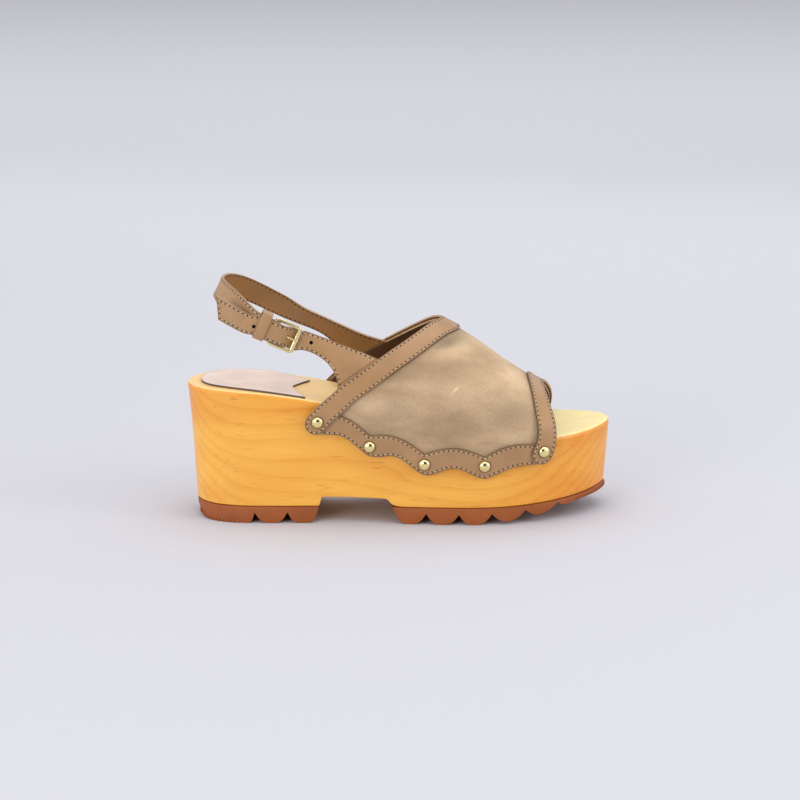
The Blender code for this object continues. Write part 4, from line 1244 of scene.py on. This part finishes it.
def nail_seat(name):
    """The middle of a nail head's flat underside, the way out from it, and the head's radius and height."""
    shape = welded_copy(name)
    bmesh.ops.dissolve_limit(shape, angle_limit=math.radians(2), verts=shape.verts, edges=shape.edges)
    base = max(shape.faces, key=lambda face: face.calc_area())
    seat, out = base.calc_center_median(), -base.normal
    radius = max((vertex.co - seat).cross(out).length for vertex in shape.verts)
    height = max((vertex.co - seat).dot(out) for vertex in shape.verts)
    shape.free()
    return seat, out.copy(), radius, height


def nail_tree(metal, ring):
    """Geometry Nodes that set a domed nail head on each seat, with a dark ring round its foot that is painted
    shade where the head presses into the leather.
    """
    tree, given = new_tree("Domed nails", "Seats", ("Radius", "Height"), "Nails")
    lift = node(tree, "GeometryNodeInputNamedAttribute", {"Name": "lift"}, data_type="FLOAT_VECTOR")
    upright = node(tree, "FunctionNodeAlignRotationToVector", {"Vector": lift.outputs[0]}, axis="Z")
    ball = node(tree, "GeometryNodeMeshUVSphere", {"Segments": 32, "Rings": 24, "Radius": 1.0})
    low = node(tree, "ShaderNodeSeparateXYZ", {0: node(tree, "GeometryNodeInputPosition").outputs[0]})
    under = node(tree, "FunctionNodeCompare", {0: low.outputs[2], 1: -0.3}, operation="LESS_THAN")
    dome = node(
        tree, "GeometryNodeDeleteGeometry", {"Geometry": ball.outputs[0], "Selection": under.outputs[0]}
    )
    spread = node(tree, "ShaderNodeCombineXYZ", {0: given["Radius"], 1: given["Radius"], 2: given["Height"]})
    heads = node(
        tree,
        "GeometryNodeInstanceOnPoints",
        {
            "Points": given["Seats"],
            "Instance": dome.outputs[0],
            "Rotation": upright.outputs[0],
            "Scale": spread.outputs[0],
        },
    )
    # The dark ring is painted shade round the foot of the nail.
    hoop = node(tree, "GeometryNodeCurvePrimitiveCircle", {"Resolution": 32, "Radius": given["Radius"]})
    wire = node(tree, "GeometryNodeCurvePrimitiveCircle", {"Resolution": 8, "Radius": NAIL_RING})
    pressed = node(tree, "GeometryNodeCurveToMesh", {0: hoop.outputs[0], 1: wire.outputs[0]})
    rings = node(
        tree,
        "GeometryNodeInstanceOnPoints",
        {"Points": given["Seats"], "Instance": pressed.outputs[0], "Rotation": upright.outputs[0]},
    )
    return end_tree(tree, (rings, ring), (heads, metal))


class SANDAL_OT_nails(bpy.types.Operator):
    """Sets the domed brass nails."""

    bl_idname = "sandal.nails"
    bl_label = "Brass nails"

    def execute(self, context):
        finish = finishes(context)
        seats = [nail_seat(name) for name in NAIL_NODES]
        piece = line_piece("brass_nails", [[(seat + out * NAIL_LIFT, out)] for seat, out, _, _ in seats])
        nails = piece.modifiers.new("Nails", "NODES")
        nails.node_group = nail_tree(finish["brass"], finish["edge"])
        _, _, radius, height = seats[0]
        set_input(nails, "Radius", radius - NAIL_SLACK)
        set_input(nails, "Height", height - NAIL_LIFT)
        settle(piece, "brass", *NAIL_NODES)
        return {"FINISHED"}


def area_light(name, place, size, power, target=LIGHT_TARGET):
    """A rectangular white light turned to a target."""
    light = bpy.data.lights.new(name, "AREA")
    light.shape = "RECTANGLE"
    light.size, light.size_y = size
    light.energy = power
    lamp = bpy.data.objects.new(name, light)
    lamp.location = place
    lamp.rotation_euler = (Vector(place) - Vector(target)).to_track_quat("Z", "Y").to_euler()
    bpy.context.scene.collection.objects.link(lamp)


def paper_sweep(context, colour):
    """A paper floor that sweeps up behind the shoe."""
    half_width, bend_start, bend, steps = 8.0, 6.0, 1.5, 12
    profile = [(-half_width, 0.0), (bend_start, 0.0)]
    for step in range(1, steps + 1):
        angle = math.radians(90 * step / steps)
        profile.append((bend_start + bend * math.sin(angle), bend * (1 - math.cos(angle))))
    profile.append((bend_start + bend, half_width))
    points = [(x, y, z) for y, z in profile for x in (-half_width, half_width)]
    faces = [(2 * k, 2 * k + 1, 2 * k + 3, 2 * k + 2) for k in range(len(profile) - 1)]
    mesh = bpy.data.meshes.new("Paper sweep")
    mesh.from_pydata(points, [], faces)
    mesh.shade_smooth()
    mesh.materials.append(backdrop_paper(colour))
    sweep = bpy.data.objects.new("paper_sweep", mesh)
    context.scene.collection.objects.link(sweep)


class SANDAL_OT_stage(bpy.types.Operator):
    """Sets up the paper sweep, the lights and the camera of the photograph."""

    bl_idname = "sandal.stage"
    bl_label = "Stage"

    def execute(self, context):
        settings = context.scene.sandal_stage
        azimuth, elevation = math.radians(settings.azimuth), math.radians(settings.elevation)
        level = math.cos(elevation)
        back = Vector((math.sin(azimuth) * level, -math.cos(azimuth) * level, math.sin(elevation)))
        lens = bpy.data.cameras.new("Camera")
        lens.lens = settings.lens
        lens.sensor_width = 36.0
        camera = bpy.data.objects.new("Camera", lens)
        camera.location = CAMERA_TARGET + back * settings.distance
        camera.rotation_euler = back.to_track_quat("Z", "Y").to_euler()
        context.scene.collection.objects.link(camera)
        context.scene.camera = camera
        context.scene.view_settings.view_transform = "Standard"
        paper_sweep(context, settings.paper)
        world = bpy.data.worlds.new("Studio")
        context.scene.world = world
        world.use_nodes = True
        sky = world.node_tree.nodes["Background"]
        sky.inputs[1].default_value = settings.daylight
        # The unlit room behind the camera shows as a dark spot in each nail.
        way = node(world.node_tree, "ShaderNodeTexCoord").outputs["Generated"]
        facing = node(
            world.node_tree, "ShaderNodeVectorMath", {0: way, 1: DARK_ROOM}, operation="DOT_PRODUCT"
        )
        room = node(
            world.node_tree,
            "ShaderNodeValToRGB",
            {0: facing.outputs["Value"]},
            [(0.9, linear("#F3F3F6")), (0.935, linear("#35332E"))],
        )
        world.node_tree.links.new(room.outputs[0], sky.inputs[0])
        area_light("Overhead softbox", (0.1, 0.0, 1.9), (2.2, 1.5), settings.overhead)
        area_light("Front softbox", (-1.05, -1.45, 0.5), (0.9, 0.6), settings.front)
        area_light("Right softbox", (1.3, -0.5, 0.6), (0.4, 1.0), 0.5 * settings.front)
        area_light("Back softbox", (0.3, 1.3, 0.66), (2.2, 0.4), settings.back)
        area_light("Backdrop softbox", (0.0, 2.2, 2.2), (5.0, 1.5), settings.backdrop, FAR_PAPER)
        return {"FINISHED"}


PIECES = (
    SANDAL_OT_wood_sole,
    SANDAL_OT_outsoles,
    SANDAL_OT_sock_pad,
    SANDAL_OT_vamp,
    SANDAL_OT_bands,
    SANDAL_OT_straps,
    SANDAL_OT_stitches,
    SANDAL_OT_buckle,
    SANDAL_OT_nails,
    SANDAL_OT_stage,
)
GROUPS = {"sandal_sizes": SandalSizes, "sandal_colours": SandalColours, "sandal_stage": StageSettings}


class SANDAL_PT_panel(bpy.types.Panel):
    """Lists the sizes, the colours and the operators."""

    bl_label = "Wooden sole sandal"
    bl_idname = "SANDAL_PT_panel"
    bl_space_type = "VIEW_3D"
    bl_region_type = "UI"
    bl_category = "Sandal"

    def draw(self, context):
        for name, group in GROUPS.items():
            box = self.layout.box()
            for key in group.__annotations__:
                box.prop(getattr(context.scene, name), key)
        for operator in PIECES:
            self.layout.operator(operator.bl_idname)


def register():
    for made in (*GROUPS.values(), *PIECES, SANDAL_PT_panel):
        bpy.utils.register_class(made)
    for name, group in GROUPS.items():
        setattr(bpy.types.Scene, name, PointerProperty(type=group))


def unregister():
    for name in GROUPS:
        delattr(bpy.types.Scene, name)
    for made in reversed((*GROUPS.values(), *PIECES, SANDAL_PT_panel)):
        bpy.utils.unregister_class(made)


def main():
    """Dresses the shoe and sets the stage."""
    register()
    for operator in PIECES:
        group, name = operator.bl_idname.split(".")
        getattr(getattr(bpy.ops, group), name)()


if __name__ == "__main__":
    main()
